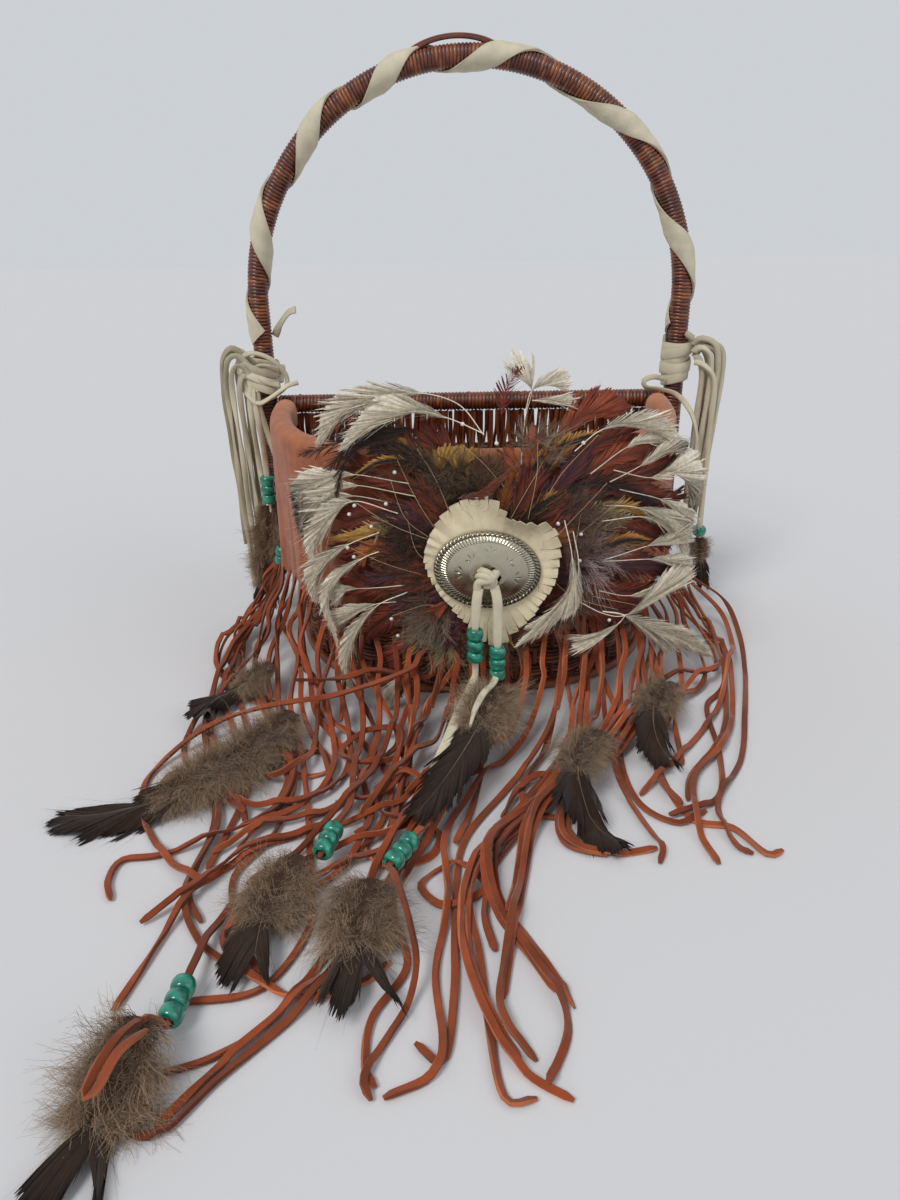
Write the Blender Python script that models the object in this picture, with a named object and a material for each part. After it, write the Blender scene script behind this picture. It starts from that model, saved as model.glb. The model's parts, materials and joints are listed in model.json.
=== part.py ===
"""A bow-fronted wicker basket with a tall hoop handle, dressed with a fringed
suede apron, a fan of feathers, a concho and beaded thongs.

Metres, Z up. The origin is on the floor under the middle of the basket. The
flat back faces +Y and the bowed front faces -Y. Lace and feather routes are
written in millimetres.
"""

import math

import bmesh
import bpy
import numpy as np
from mathutils import Matrix, Vector

MM = 0.001
GAP = 0.0004

# Wicker body
HALF_WIDTH = 0.121
BOW_DEPTH = 0.140
BOW_POWER = 2.6
BACK_Y = 0.060
WALL = 0.0038
WEAVE_BULGE = 0.0007
POSTS = 36
BACK_BANDS = 11
FRONT_BANDS = 13
TAPER = 0.008
BASE_THICK = 0.006
RIM_Z = 0.143
RIM_R = 0.005
BACK_RIM_Z = 0.145
BACK_RIM_R = 0.006
BACK_RIM_HALF = 0.1262
BACK_WALL_Y = 0.056
BACK_WALL_HALF = 0.1235
WEAVE_TOP = 0.117
STAKE = 0.0028
CORNER_GAP = 0.0115

# Hoop handle
HOOP_R = 0.134
HOOP_TUBE_R = 0.0065
HOOP_FOOT_Z = 0.040
HOOP_SPRING_Z = 0.208
STRIP_FOOT_Z = 0.188
STRIP_TURNS = 7.15
STRIP_START_TURN = -0.15
STRIP_WIDTH = 0.014
STRIP_THICK = 0.0014
STRIP_LIFT = 0.0012
CANE_LOOP_R = 0.0012
BINDING_R = 0.0019
BINDING_PITCH = 0.0043
BINDING_Z = 0.1560

# Suede apron and fringe
APRON_THICK = 0.0018
APRON_LIFT = 0.0054
APRON_INSIDE_Z = 0.134
APRON_END = 0.013
HEM_Z = 0.062
FOLD_DEPTH = 0.0018
FOLDS = 11
LACE_WIDTH = 0.0032
LACE_THICK = 0.0018
LACE_SLACK = 0.0010
LACE_LONGEST = 0.032
HEM_STRIP = 0.0055
FLOOR_LIFT = 0.0017
PILE_SIDE = 0.0052
PILE_RISE = 0.0026

# Feather spray, rosette and concho
SPRAY_Y = -0.092
SPRAY_CURVE = 2.2
SPRAY_CENTRE = (4, 91)
BLADE_WIDTH = 0.0084
ROSETTE_Y = -0.0995
ROSETTE_THICK = 0.002
ROSETTE_SLITS = 18
CONCHO_HALF = (0.0285, 0.022)
CONCHO_TILT = math.radians(-6.6)
CONCHO_Y = -0.1022
CONCHO_DOME = 0.0062
CONCHO_SHELL = 0.001
TIE_R = 0.0013

# Thongs and beads
THONG_R = 0.0016
THONG_WIDTH = 0.0026
BUNDLE_X = 0.146
BUNDLE_Y = 0.0465
BUNDLE_Z = 0.169
BUNDLE_TOP = 0.006
BEAD_R = 0.0047
BEAD_HOLE_R = 0.0022
BEAD_LENGTH = 0.0063

WICKER = ("wicker", (0.13, 0.032, 0.014), 0.45, 0.0)
SUEDE = ("suede", (0.42, 0.13, 0.055), 0.95, 0.0)
CREAM = ("cream_leather", (0.62, 0.57, 0.45), 0.85, 0.0)
SILVER = ("silver", (0.55, 0.54, 0.50), 0.35, 1.0)
GLASS_BEAD = ("glass_bead", (0.02, 0.26, 0.20), 0.15, 0.0)
DARK_FEATHER = ("dark_feather", (0.07, 0.05, 0.035), 0.8, 0.0)
RUST_FEATHER = ("rust_feather", (0.25, 0.06, 0.025), 0.6, 0.0)
GOLD_FEATHER = ("gold_feather", (0.45, 0.24, 0.05), 0.6, 0.0)
CREAM_FEATHER = ("cream_feather", (0.66, 0.61, 0.52), 0.8, 0.0)
BROWN_FEATHER = ("brown_feather", (0.20, 0.14, 0.095), 0.95, 0.0)

UP = Vector((0, 0, 1))
FRONT = Vector((0, -1, 0))


def clear_scene():
    for item in list(bpy.data.objects):
        bpy.data.objects.remove(item, do_unlink=True)


def own_material(name, finish):
    """The node's own Principled material, from its finish."""
    _, colour, roughness, metallic = finish
    mat = bpy.data.materials.new(name)
    mat.use_nodes = True
    shader = mat.node_tree.nodes["Principled BSDF"]
    shader.inputs["Base Color"].default_value = (*colour, 1.0)
    shader.inputs["Roughness"].default_value = roughness
    shader.inputs["Metallic"].default_value = metallic
    return mat


def place(name, data, origin):
    item = bpy.data.objects.new(name, data)
    item.location = origin
    bpy.context.collection.objects.link(item)
    return item


def add_mesh(name, verts, faces, finish, origin=(0, 0, 0), smooth=True):
    origin = Vector(origin)
    mesh = bpy.data.meshes.new(name)
    mesh.from_pydata([Vector(v) - origin for v in verts], [], faces)
    work = bmesh.new()
    work.from_mesh(mesh)
    bmesh.ops.recalc_face_normals(work, faces=work.faces)
    bmesh.ops.triangulate(work, faces=[f for f in work.faces if len(f.verts) > 4])
    work.to_mesh(mesh)
    work.free()
    if smooth:
        mesh.shade_smooth()
        mesh.set_sharp_from_angle(angle=math.radians(40))
    mesh.materials.append(own_material(name, finish))
    return place(name, mesh, origin)


def add_tube(name, points, radius, finish, resolution=2, origin=(0, 0, 0)):
    """A round cord along a list of points, with flat filled ends."""
    origin = Vector(origin)
    curve = bpy.data.curves.new(name, "CURVE")
    curve.dimensions = "3D"
    curve.fill_mode = "FULL"
    curve.bevel_depth = radius
    curve.bevel_resolution = resolution
    curve.use_fill_caps = True
    spline = curve.splines.new("POLY")
    spline.points.add(len(points) - 1)
    for node, point in zip(spline.points, points):
        node.co = (*(Vector(point) - origin), 1.0)
    curve.materials.append(own_material(name, finish))
    return place(name, curve, origin)


def smooth_route(points, step):
    """Evenly spaced points on a Catmull-Rom curve through the given ones."""
    points = [Vector(p) for p in points]
    ends = [2 * points[0] - points[1]] + points + [2 * points[-1] - points[-2]]
    fine = []
    for a, b, c, d in zip(ends, ends[1:], ends[2:], ends[3:]):
        for k in range(12):
            t = k / 12
            square = t * t * (2 * a - 5 * b + 4 * c - d)
            cube = t ** 3 * (3 * b - a - 3 * c + d)
            fine.append(0.5 * (2 * b + t * (c - a) + square + cube))
    fine.append(points[-1])
    along = np.cumsum([0.0] + [(q - p).length for p, q in zip(fine, fine[1:])])
    at = np.linspace(0, along[-1], max(2, round(along[-1] / step) + 1))
    columns = [np.interp(at, along, [p[k] for p in fine]) for k in range(3)]
    return [Vector(p) for p in zip(*columns)]


def thin_out(line, slack, longest):
    """Leave out points of a line wherever a straight stretch stays within the slack."""
    kept = [0]
    k = 2
    while k < len(line):
        a, b = line[kept[-1]], line[k]
        way = (b - a).normalized()
        off = max(((p - a) - way * (p - a).dot(way)).length for p in line[kept[-1] + 1:k])
        if off > slack or (b - a).length > longest:
            kept.append(k - 1)
        k += 1
    return [line[k] for k in kept] + [line[-1]]


def bow_point(t, grow):
    """A point on the bow; t runs 0 to 1 from the left back corner to the right."""
    angle = math.pi * t
    c, s = math.cos(angle), max(math.sin(angle), 0.0)
    x = -math.copysign((HALF_WIDTH + grow) * abs(c) ** (2 / BOW_POWER), c)
    return Vector((x, BACK_Y - (BOW_DEPTH + grow) * s ** (2 / BOW_POWER), 0))


class Bow:
    """The plan line of the basket's sides and front, measured from the front's middle."""

    def __init__(self, grow=0.0):
        self.points = np.array([bow_point(k / 1200, grow) for k in range(1201)])
        steps = np.linalg.norm(np.diff(self.points, axis=0), axis=1)
        self.along = np.concatenate([[0.0], np.cumsum(steps)])
        self.half = float(self.along[-1] / 2)

    def plan(self, u):
        return Vector([np.interp(u + self.half, self.along, self.points[:, k]) for k in range(3)])

    def at(self, u, z=0.0, lift=0.0):
        """The point u metres right of the middle, lifted off the line, and its outward normal."""
        reach = self.half - 0.001
        mid = min(max(u, -reach), reach)
        tangent = (self.plan(mid + 0.001) - self.plan(mid - 0.001)).normalized()
        outward = tangent.cross(UP)
        point = self.plan(u) + outward * lift
        point.z = z
        return point, outward

    def stations(self, margin, count):
        reach = self.half - margin
        return [-reach + 2 * reach * k / (count - 1) for k in range(count)]


def loft(rings, closed=False):
    """Vertices and faces of a body whose rings all have the same number of points."""
    count = len(rings[0])
    verts = [p for ring in rings for p in ring]
    faces = []
    for r in range(len(rings) if closed else len(rings) - 1):
        a, b = r * count, ((r + 1) % len(rings)) * count
        faces += [(a + k, a + (k + 1) % count, b + (k + 1) % count, b + k) for k in range(count)]
    if not closed:
        faces += [tuple(range(count)), tuple(range(len(verts) - count, len(verts)))]
    return verts, faces


def turned(profile, count, axis=UP, centre=(0, 0, 0)):
    """A closed profile of (radius, height) turned into a ring about an axis."""
    turn = UP.rotation_difference(Vector(axis)).to_matrix()
    rings = []
    for k in range(count):
        angle = 2 * math.pi * k / count
        spot = [Vector((r * math.cos(angle), r * math.sin(angle), h)) for r, h in profile]
        rings.append([turn @ p + Vector(centre) for p in spot])
    return loft(rings, closed=True)


def ribbon_rings(points, normals, widths, thicks):
    """Sections along a strip: front left, front right, back right and back left corners."""
    rings = []
    for k, (point, normal) in enumerate(zip(points, normals)):
        tangent = (points[min(k + 1, len(points) - 1)] - points[max(k - 1, 0)]).normalized()
        normal = (normal - tangent * normal.dot(tangent)).normalized()
        side = normal.cross(tangent) * widths[k] / 2
        front = normal * thicks[k] / 2
        rings.append([point - side + front, point + side + front,
                      point + side - front, point - side - front])
    return rings


def comb(name, edge, strands, depth, thick, finish, margin, origin=(0, 0, 0)):
    """One body: a band with tongues grown from its edge.

    edge(s) gives a point on the edge, the way the tongues leave it and the normal of
    the band's front face. A strand is (s, root width, rings along it).
    """
    strands = sorted(strands, key=lambda strand: strand[0])
    first, last = strands[0], strands[-1]
    marks = [(first[0] - first[1] / 2 - margin, None)]
    for s, width, rings in strands:
        marks += [(s - width / 2, rings), (s + width / 2, None)]
    marks.append((last[0] + last[1] / 2 + margin, None))
    verts, faces = [], []
    for s, _ in marks:
        point, way, normal = edge(s)
        back, front = point - way * depth, normal * thick / 2
        verts += [back + front, point + front, point - front, back - front]
    for k, (_, rings) in enumerate(marks[:-1]):
        a, b = 4 * k, 4 * k + 4
        faces += [(a, a + 1, b + 1, b), (a + 3, b + 3, b + 2, a + 2), (a, b, b + 3, a + 3)]
        root = [a + 1, b + 1, b + 2, a + 2]
        for ring in rings or []:
            new = list(range(len(verts), len(verts) + 4))
            verts += ring
            faces += [(root[i], root[(i + 1) % 4], new[(i + 1) % 4], new[i]) for i in range(4)]
            root = new
        faces.append(tuple(root))
    end = 4 * (len(marks) - 1)
    faces += [(0, 3, 2, 1), (end, end + 1, end + 2, end + 3)]
    return add_mesh(name, verts, faces, finish, origin, smooth=False)


# Wicker body


def wall_outline(grow, margin, count):
    return [BOW.at(u, 0, grow)[0] for u in BOW.stations(margin, count)]


def make_base():
    outline = wall_outline(WALL / 2 + WEAVE_BULGE - TAPER, 0.004, 40)
    low = [Vector((p.x, p.y, 0)) for p in outline]
    high = [Vector((p.x, p.y, BASE_THICK)) for p in outline]
    verts, faces = loft([low, high])
    add_mesh("base_board", verts, faces, WICKER)


def weave_grid(spot, levels):
    """Two sheets of points that bulge by turns before and behind each post.

    spot(k, f, off) is a point at post k, a share f of the way up and off the middle.
    """
    verts = []
    for side in (1, -1):
        for m, f in enumerate(levels):
            for k in range(POSTS + 1):
                bulge = WEAVE_BULGE if (k + m) % 2 else -WEAVE_BULGE
                verts.append(spot(k, f, side * WALL / 2 + bulge))
    return verts


def weave_faces(rows):
    """The faces of both sheets, their two ends and the lower edge between them."""
    posts = POSTS + 1
    far = rows * posts
    faces = []
    for sheet in (0, far):
        for m in range(rows - 1):
            for k in range(POSTS):
                a = sheet + m * posts + k
                faces.append((a, a + 1, a + posts + 1, a + posts))
    for m in range(rows - 1):
        for k in (0, POSTS):
            a = m * posts + k
            faces.append((a, a + posts, far + a + posts, far + a))
    faces += [(k, k + 1, far + k + 1, far + k) for k in range(POSTS)]
    return faces


def band_levels(bands):
    """The middles of the bands of cane, as shares of the height, above the lower edge."""
    return [0.0] + [(m + 0.5) / bands for m in range(bands)]


def make_front_wall():
    """The bow's woven wall, leaning in towards the base."""
    low, high = BASE_THICK + GAP, RIM_Z - RIM_R - GAP
    stations = BOW.stations(0.008, POSTS + 1)

    def spot(k, f, off):
        return BOW.at(stations[k], low + (high - low) * f, off - TAPER * (1 - f))[0]

    levels = band_levels(FRONT_BANDS) + [1.0]
    faces = weave_faces(len(levels))
    top, far = (len(levels) - 1) * (POSTS + 1), len(levels) * (POSTS + 1)
    faces += [(a, a + 1, far + a + 1, far + a) for a in range(top, top + POSTS)]
    add_mesh("front_wall", weave_grid(spot, levels), faces, WICKER, smooth=False)


def make_back_wall():
    """A flat woven panel whose posts run on up to the rim, open between them."""
    low, top = BASE_THICK + GAP, BACK_RIM_Z - BACK_RIM_R - GAP
    reach = BACK_WALL_HALF - STAKE / 2

    def post(k):
        return (2 * k / POSTS - 1) * reach

    def spot(k, f, off):
        return Vector((post(k), BACK_WALL_Y - off, low + (WEAVE_TOP - low) * f))

    levels = band_levels(BACK_BANDS)
    verts, faces = weave_grid(spot, levels), weave_faces(len(levels))
    last = (len(levels) - 1) * (POSTS + 1)
    far = len(levels) * (POSTS + 1)
    before = None
    for k in range(POSTS + 1):
        foot = len(verts)
        corners = [(-1, 1), (1, 1), (1, -1), (-1, -1)]
        for z in (WEAVE_TOP, top):
            verts += [Vector((post(k) + i * STAKE / 2, BACK_WALL_Y - j * STAKE / 2, z))
                      for i, j in corners]
        a, b, c, d = (foot + i for i in range(4))
        faces += [(foot + i, foot + (i + 1) % 4, foot + 4 + (i + 1) % 4, foot + 4 + i)
                  for i in range(4)]
        faces += [(foot + 4, foot + 5, foot + 6, foot + 7)]
        front, back = last + k, far + last + k
        faces += [(front, a, b), (back, c, d)]
        if before is None:
            faces.append((front, back, d, a))
        else:
            left_b, left_c = before
            faces += [(front - 1, front, a, left_b), (back - 1, left_c, d, back),
                      (left_b, a, d, left_c)]
        before = (b, c)
    faces.append((front, b, c, back))
    add_mesh("back_wall", verts, faces, WICKER, smooth=False)


def make_rims():
    ring = [Vector((0, math.cos(a), math.sin(a))) * BACK_RIM_R
            for a in (2 * math.pi * k / 12 for k in range(12))]
    centre = Vector((0, BACK_WALL_Y, BACK_RIM_Z))
    ends = [[centre + p + Vector((x, 0, 0)) for p in ring] for x in (-BACK_RIM_HALF, BACK_RIM_HALF)]
    verts, faces = loft(ends)
    add_mesh("back_rim", verts, faces, WICKER)
    line = [BOW.at(u, RIM_Z)[0] for u in BOW.stations(CORNER_GAP, 40)]
    add_tube("front_rim", line, RIM_R, WICKER)


# Hoop handle


def hoop_length():
    return math.pi * HOOP_R + 2 * (HOOP_SPRING_Z - STRIP_FOOT_Z)


def hoop_at(s):
    """Centre, way along and outward direction of the hoop, s metres from the strip's foot."""
    leg = HOOP_SPRING_Z - STRIP_FOOT_Z
    if s <= leg:
        return Vector((-HOOP_R, BACK_Y, STRIP_FOOT_Z + s)), UP, Vector((-1, 0, 0))
    angle = (s - leg) / HOOP_R
    if angle < math.pi:
        out = Vector((-math.cos(angle), 0, math.sin(angle)))
        way = Vector((math.sin(angle), 0, math.cos(angle)))
        return Vector((0, BACK_Y, HOOP_SPRING_Z)) + out * HOOP_R, way, out
    down = s - leg - math.pi * HOOP_R
    return Vector((HOOP_R, BACK_Y, HOOP_SPRING_Z - down)), -UP, Vector((1, 0, 0))


def make_hoop():
    arc = [hoop_at(HOOP_SPRING_Z - STRIP_FOOT_Z + math.pi * HOOP_R * k / 26)[0] for k in range(27)]
    foot = Vector((-HOOP_R, BACK_Y, HOOP_FOOT_Z))
    far = Vector((HOOP_R, BACK_Y, HOOP_FOOT_Z))
    add_tube("handle_hoop", [foot] + arc + [far], HOOP_TUBE_R, WICKER, resolution=3)


def make_handle_strip():
    """A leather strip wound round the hoop, from the left foot over the top to the right."""
    length, turns, per_turn = hoop_length(), STRIP_TURNS, 12
    count = round(turns * per_turn)
    radius = HOOP_TUBE_R + STRIP_LIFT
    lead = math.atan2(2 * math.pi * radius * turns, length)
    rings, middle = [], []
    for k in range(count + 1):
        ring = []
        for thick, widths in ((STRIP_THICK, (-0.5, 0, 0.5)), (0, (0.5, 0, -0.5))):
            for w in widths:
                s = length * k / count + w * STRIP_WIDTH * math.sin(lead)
                turn = 2 * math.pi * (turns * k / count + STRIP_START_TURN)
                turn -= w * STRIP_WIDTH * math.cos(lead) / radius
                centre, _, out = hoop_at(s)
                radial = FRONT * math.cos(turn) + out * math.sin(turn)
                ring.append(centre + radial * (radius + thick))
        rings.append(ring)
        middle.append(ring[1])
    verts, quads = loft(rings)
    faces = quads[-2:]
    for k, (a, b, c, d) in enumerate(quads[:-2]):
        faces += [(a, b, c), (a, c, d)] if k % 6 < 3 else [(a, b, d), (b, c, d)]
    add_mesh("handle_strip", verts, faces, CREAM)
    report_gap("handle_strip", middle, STRIP_WIDTH, per_turn // 2)


def report_gap(name, line, width, skip):
    """Print the least gap between a winding's own turns."""
    least = min((p - q).length for k, p in enumerate(line) for q in line[k + skip:])
    print(f"{name}: least gap between its turns {1000 * (least - width):.1f} mm")


def make_cane_loop():
    """A loose end of cane that arches over one turn of the strip at the hoop's top."""
    middle = math.radians(84)
    line = []
    for k in range(11):
        f = 2 * k / 10 - 1
        angle = middle + f * math.radians(13)
        rise = HOOP_TUBE_R + CANE_LOOP_R + GAP + 0.0043 * (1 - f * f) ** 0.7
        out = Vector((-math.cos(angle), 0, math.sin(angle)))
        line.append(Vector((0, BACK_Y, HOOP_SPRING_Z)) + out * (HOOP_R + rise))
    add_tube("top_cane_loop", line, CANE_LOOP_R, WICKER)


def make_binding(name, side, turns):
    """A thong wound round a foot of the hoop above the rim, its ends run straight out."""
    radius = HOOP_TUBE_R + BINDING_R + 0.0006
    per_turn = 11
    centre = Vector((side * HOOP_R, BACK_Y, BINDING_Z))
    line = []
    for k in range(turns * per_turn + 1):
        angle = 2 * math.pi * k / per_turn
        spoke = Vector((side * math.cos(angle), math.sin(angle), 0)) * radius
        line.append(centre + spoke + UP * BINDING_PITCH * k / per_turn)
    first = (line[0] - line[1]).normalized() * 2 * BINDING_R
    last = (line[-1] - line[-2]).normalized() * 2 * BINDING_R
    line = [line[0] + first] + line + [line[-1] + last]
    add_tube(name, line, BINDING_R, CREAM, resolution=1)
    report_gap(name, line, 2 * BINDING_R, per_turn // 2)


# Suede apron and fringe


def fold(u, z):
    """How far the hanging suede stands off at u, deeper towards the hem."""
    hang = min(max((RIM_Z - z) / (RIM_Z - HEM_Z), 0.0), 1.0)
    return FOLD_DEPTH * hang * math.sin(2 * math.pi * FOLDS * u / (2 * BOW.half))


def make_apron():
    """Suede folded over the bow's rim from inside and hung down outside to the hem."""
    path = [(math.pi, APRON_INSIDE_Z)] + [(a * math.pi / 4, RIM_Z) for a in (4, 3, 2, 1, 0)]
    path += [(0, RIM_Z + (HEM_Z - RIM_Z) * k / 2) for k in (1, 2)]
    rings = []
    for u in BOW.stations(APRON_END, 48):
        sides = []
        for reach in (APRON_LIFT + APRON_THICK, APRON_LIFT):
            side = []
            for angle, z in path:
                lift = reach * math.cos(angle) + (fold(u, z) if angle == 0 else 0.0)
                side.append(BOW.at(u, z + reach * math.sin(angle), lift)[0])
            sides.append(side)
        rings.append(sides[0] + sides[1][::-1])
    verts, faces = loft(rings)
    add_mesh("suede_apron", verts, faces, SUEDE)


def hem_edge(u):
    z = HEM_Z - GAP - HEM_STRIP
    point, outward = BOW.at(u, z, APRON_LIFT + APRON_THICK / 2 + fold(u, HEM_Z))
    return point, -UP, outward


# Each lace: its place along the hem, then its route over the floor, in millimetres. A
# third number is a height that the suede's stiffness holds it at.
LEFT_LACES = {
    -190: [(-143, 24, 24), (-152, 2, 9), (-149, -35), (-142, -77), (-131, -112), (-119, -150),
           (-121, -190), (-126, -226)],
    -178: [(-139, 10, 26), (-163, -8, 8), (-164, -40), (-146, -66), (-124, -82), (-108, -104),
           (-100, -140), (-99, -176), (-112, -203)],
    -166: [(-140, -4, 20), (-153, -26, 7), (-158, -70), (-152, -120), (-139, -160), (-128, -196),
           (-132, -240), (-120, -267), (-104, -281)],
    -154: [(-137, -22, 20), (-137, -50, 6), (-126, -88), (-108, -128), (-96, -166), (-101, -205),
           (-113, -232), (-104, -262), (-92, -286)],
    -142: [(-131, -36, 20), (-146, -58, 7), (-156, -92), (-162, -124), (-152, -154), (-134, -172),
           (-116, -190)],
    -130: [(-122, -52, 22), (-118, -80, 8), (-112, -118), (-107, -142), (-97, -160), (-102, -188),
           (-117, -198)],
}
FRONT_LEFT_LACES = {
    -112: [(-106, -72, 24), (-108, -98, 8), (-96, -140), (-86, -190), (-79, -234), (-76, -262),
           (-90, -292), (-119, -298)],
    -101: [(-98, -84, 22), (-92, -108, 8), (-72, -140), (-58, -180), (-62, -222), (-84, -246),
           (-110, -262), (-98, -284), (-76, -296), (-52, -290), (-42, -280)],
    -90: [(-91, -92, 22), (-84, -112, 8), (-78, -158), (-97, -190), (-123, -204), (-150, -216),
          (-166, -219), (-168, -232), (-163, -244)],
    -79: [(-80, -97, 24), (-74, -116, 8), (-70, -150), (-82, -176), (-106, -186), (-128, -176),
          (-140, -150)],
    -68: [(-68, -102, 24), (-64, -126, 8), (-66, -160), (-65, -190), (-69, -209)],
    -57: [(-57, -103, 24), (-56, -124, 7), (-62, -168), (-74, -197), (-100, -210), (-123, -232),
          (-133, -258), (-139, -284), (-143, -301)],
    -46: [(-46, -104, 24), (-48, -126, 7), (-60, -172), (-80, -208), (-102, -236), (-114, -262),
          (-117, -290)],
    -35: [(-35, -105, 26), (-37, -128, 8), (-43, -181), (-47, -212), (-68, -229), (-93, -244),
          (-109, -264)],
}
FRONT_LACES = {
    -24: [(-40, -107, 34), (-76, -117, 26), (-118, -116, 18), (-150, -124, 10), (-171, -150),
          (-170, -178), (-158, -202), (-142, -223), (-124, -238)],
    -14: [(-15, -105, 24), (-19, -128, 7), (-36, -180), (-77, -201), (-111, -216), (-126, -240),
          (-146, -258)],
    -4: [(-5, -105, 24), (-10, -128, 7), (-30, -176), (-50, -226), (-64, -268), (-82, -304),
         (-101, -321), (-120, -328)],
    6: [(5, -105, 24), (-4, -128, 7), (-20, -176), (-40, -230), (-55, -272), (-72, -300),
        (-98, -330), (-112, -349), (-124, -348)],
    16: [(15, -105, 24), (6, -130, 7), (-16, -178), (-38, -218), (-42, -254), (-35, -282),
         (-47, -306), (-48, -326), (-44, -334)],
    26: [(25, -105, 24), (14, -132, 7), (-12, -172), (-24, -204), (-33, -222)],
    36: [(35, -104, 24), (22, -134, 7), (-4, -170), (-20, -206), (-19, -248), (-24, -286),
         (-22, -325), (-41, -338)],
}
FRONT_RIGHT_LACES = {
    47: [(46, -104, 24), (34, -136, 7), (8, -176), (-12, -212), (-16, -254), (-17, -296),
         (-21, -324), (-31, -317)],
    58: [(57, -104, 24), (52, -128, 7), (42, -176), (34, -202), (40, -216), (55, -221), (76, -217)],
    69: [(68, -102, 24), (58, -130, 7), (26, -176), (2, -212), (-10, -244), (-7, -276), (-5, -306),
         (-1, -338), (10, -339)],
    80: [(79, -98, 26), (70, -124, 9), (40, -168), (14, -200), (-6, -226), (-14, -264), (-7, -303),
         (6, -328), (22, -340)],
    91: [(90, -92, 28), (84, -116, 12), (56, -156), (26, -188), (2, -216), (0, -248), (13, -277),
         (24, -308), (14, -335)],
    101: [(99, -84, 28), (94, -112, 12), (66, -150), (38, -180), (21, -202), (12, -240), (4, -276),
          (0, -306), (11, -325)],
    111: [(107, -75, 26), (102, -104, 8), (80, -132), (66, -158), (72, -192), (78, -216), (75, -227)],
}
RIGHT_LACES = {
    128: [(121, -55, 24), (118, -84, 8), (102, -118), (90, -156), (96, -196), (114, -204),
          (124, -222), (132, -220)],
    139: [(129, -42, 26), (136, -70, 8), (118, -92), (98, -108), (91, -138), (88, -168), (94, -188)],
    150: [(136, -28, 26), (148, -46, 7), (139, -70), (110, -80), (84, -104), (72, -146), (74, -184),
          (90, -200), (105, -191)],
    161: [(141, -12, 26), (152, -30, 7), (146, -76), (130, -98), (124, -146), (113, -182),
          (86, -196)],
    172: [(143, 2, 28), (155, -20, 7), (152, -62), (143, -104), (128, -138), (106, -166),
          (98, -204), (101, -228)],
    183: [(146, 14, 30), (164, 0, 14), (163, -34, 5), (150, -66), (138, -96), (120, -124),
          (92, -160), (76, -178)],
    193: [(148, 24, 30), (170, 16, 16), (173, -14, 5), (164, -58), (150, -104), (134, -150),
          (112, -186), (112, -214), (118, -222)],
}
LACES = [LEFT_LACES, RIGHT_LACES, FRONT_LEFT_LACES, FRONT_RIGHT_LACES, FRONT_LACES]
FRINGES = ["fringe_left", "fringe_right", "fringe_front_left", "fringe_front_right",
           "fringe_front"]
BEADED_ENDS = {-68: "centre_left_beads", 26: "centre_beads", -46: "lower_left_beads"}
LEFT_BEAD_LACE = -178


def lace_line(u, route):
    """A lace's points from the hem down to the floor and along it."""
    start, _, outward = hem_edge(u * MM)
    points = [start, start + outward * 0.003 - UP * 0.014]
    for spot in route:
        z = spot[2] * MM if len(spot) > 2 else FLOOR_LIFT
        points.append(Vector((spot[0] * MM, spot[1] * MM, z)))
    line = smooth_route(points, 0.004)
    for p in line:
        p.z = max(p.z, FLOOR_LIFT)
    line = points[:2] + thin_out(line, LACE_SLACK, LACE_LONGEST)[2:]
    if u in BEADED_ENDS:
        way = line[-1] - line[-2]
        way.z = 0
        line.append(line[-1] + way.normalized() * (3 * BEAD_LENGTH + 0.004))
    return line


def spread(line, step=0.0025):
    """Points close together along the straight stretches of a line, and where each one is."""
    line = np.array(line)
    found, places = [], []
    for k, (a, b) in enumerate(zip(line, line[1:])):
        count = max(1, math.ceil(np.linalg.norm(b - a) / step))
        part = np.arange(count) / count
        found.append(a + part[:, None] * (b - a))
        places.append(k + part)
    return np.concatenate(found + [line[-1:]]), np.concatenate(places + [[len(line) - 1.0]])


class Pile:
    """What already lies on the floor, as points with a height, for later pieces to clear."""

    def __init__(self):
        self.points = np.zeros((0, 3))

    def add(self, line):
        self.points = np.concatenate([self.points, spread(line)[0]])

    def top(self, point, radius):
        near = np.linalg.norm(self.points[:, :2] - np.array(point[:2]), axis=1) < radius
        return float(self.points[near, 2].max()) if near.any() else 0.0

    def lift(self, line, held=2, last=None):
        """Raise a line's points until no stretch touches the pile or an earlier stretch."""
        line = np.array(line)
        samples, places = spread(line)
        below = np.linalg.norm(samples[:, None, :2] - self.points[None, :, :2], axis=2)
        row, other = np.nonzero(below < PILE_SIDE)
        itself = np.linalg.norm(samples[:, None, :2] - samples[None, :, :2], axis=2)
        late, early = np.nonzero(itself < PILE_SIDE)
        own = places[late] - places[early] > 1.0
        late, early = late[own], early[own]
        for _ in range(60):
            heights = np.interp(places, np.arange(len(line)), line[:, 2])
            rise = np.concatenate([self.points[other, 2] - heights[row],
                                   heights[early] - heights[late]]) + PILE_RISE
            where = np.concatenate([row, late])
            hit = (rise > 1e-6) & (rise < 2 * PILE_RISE) & (places[where] > held - 1)
            if not hit.any():
                break
            need = np.zeros(len(line))
            for end in (np.floor, np.ceil):
                np.maximum.at(need, end(places[where[hit]]).astype(int), rise[hit])
            need[:held] = 0
            line[:, 2] += need
        return [Vector(p) for p in line]


def lace_normals(line, outward):
    """A lace leaves the hem facing outward and lies on the floor facing up."""
    normals = []
    for k in range(len(line)):
        way = (line[min(k + 1, len(line) - 1)] - line[max(k - 1, 0)]).normalized()
        level = 1 - abs(way.z)
        normals.append((outward * (1 - level) + UP * level).normalized())
    return normals


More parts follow.
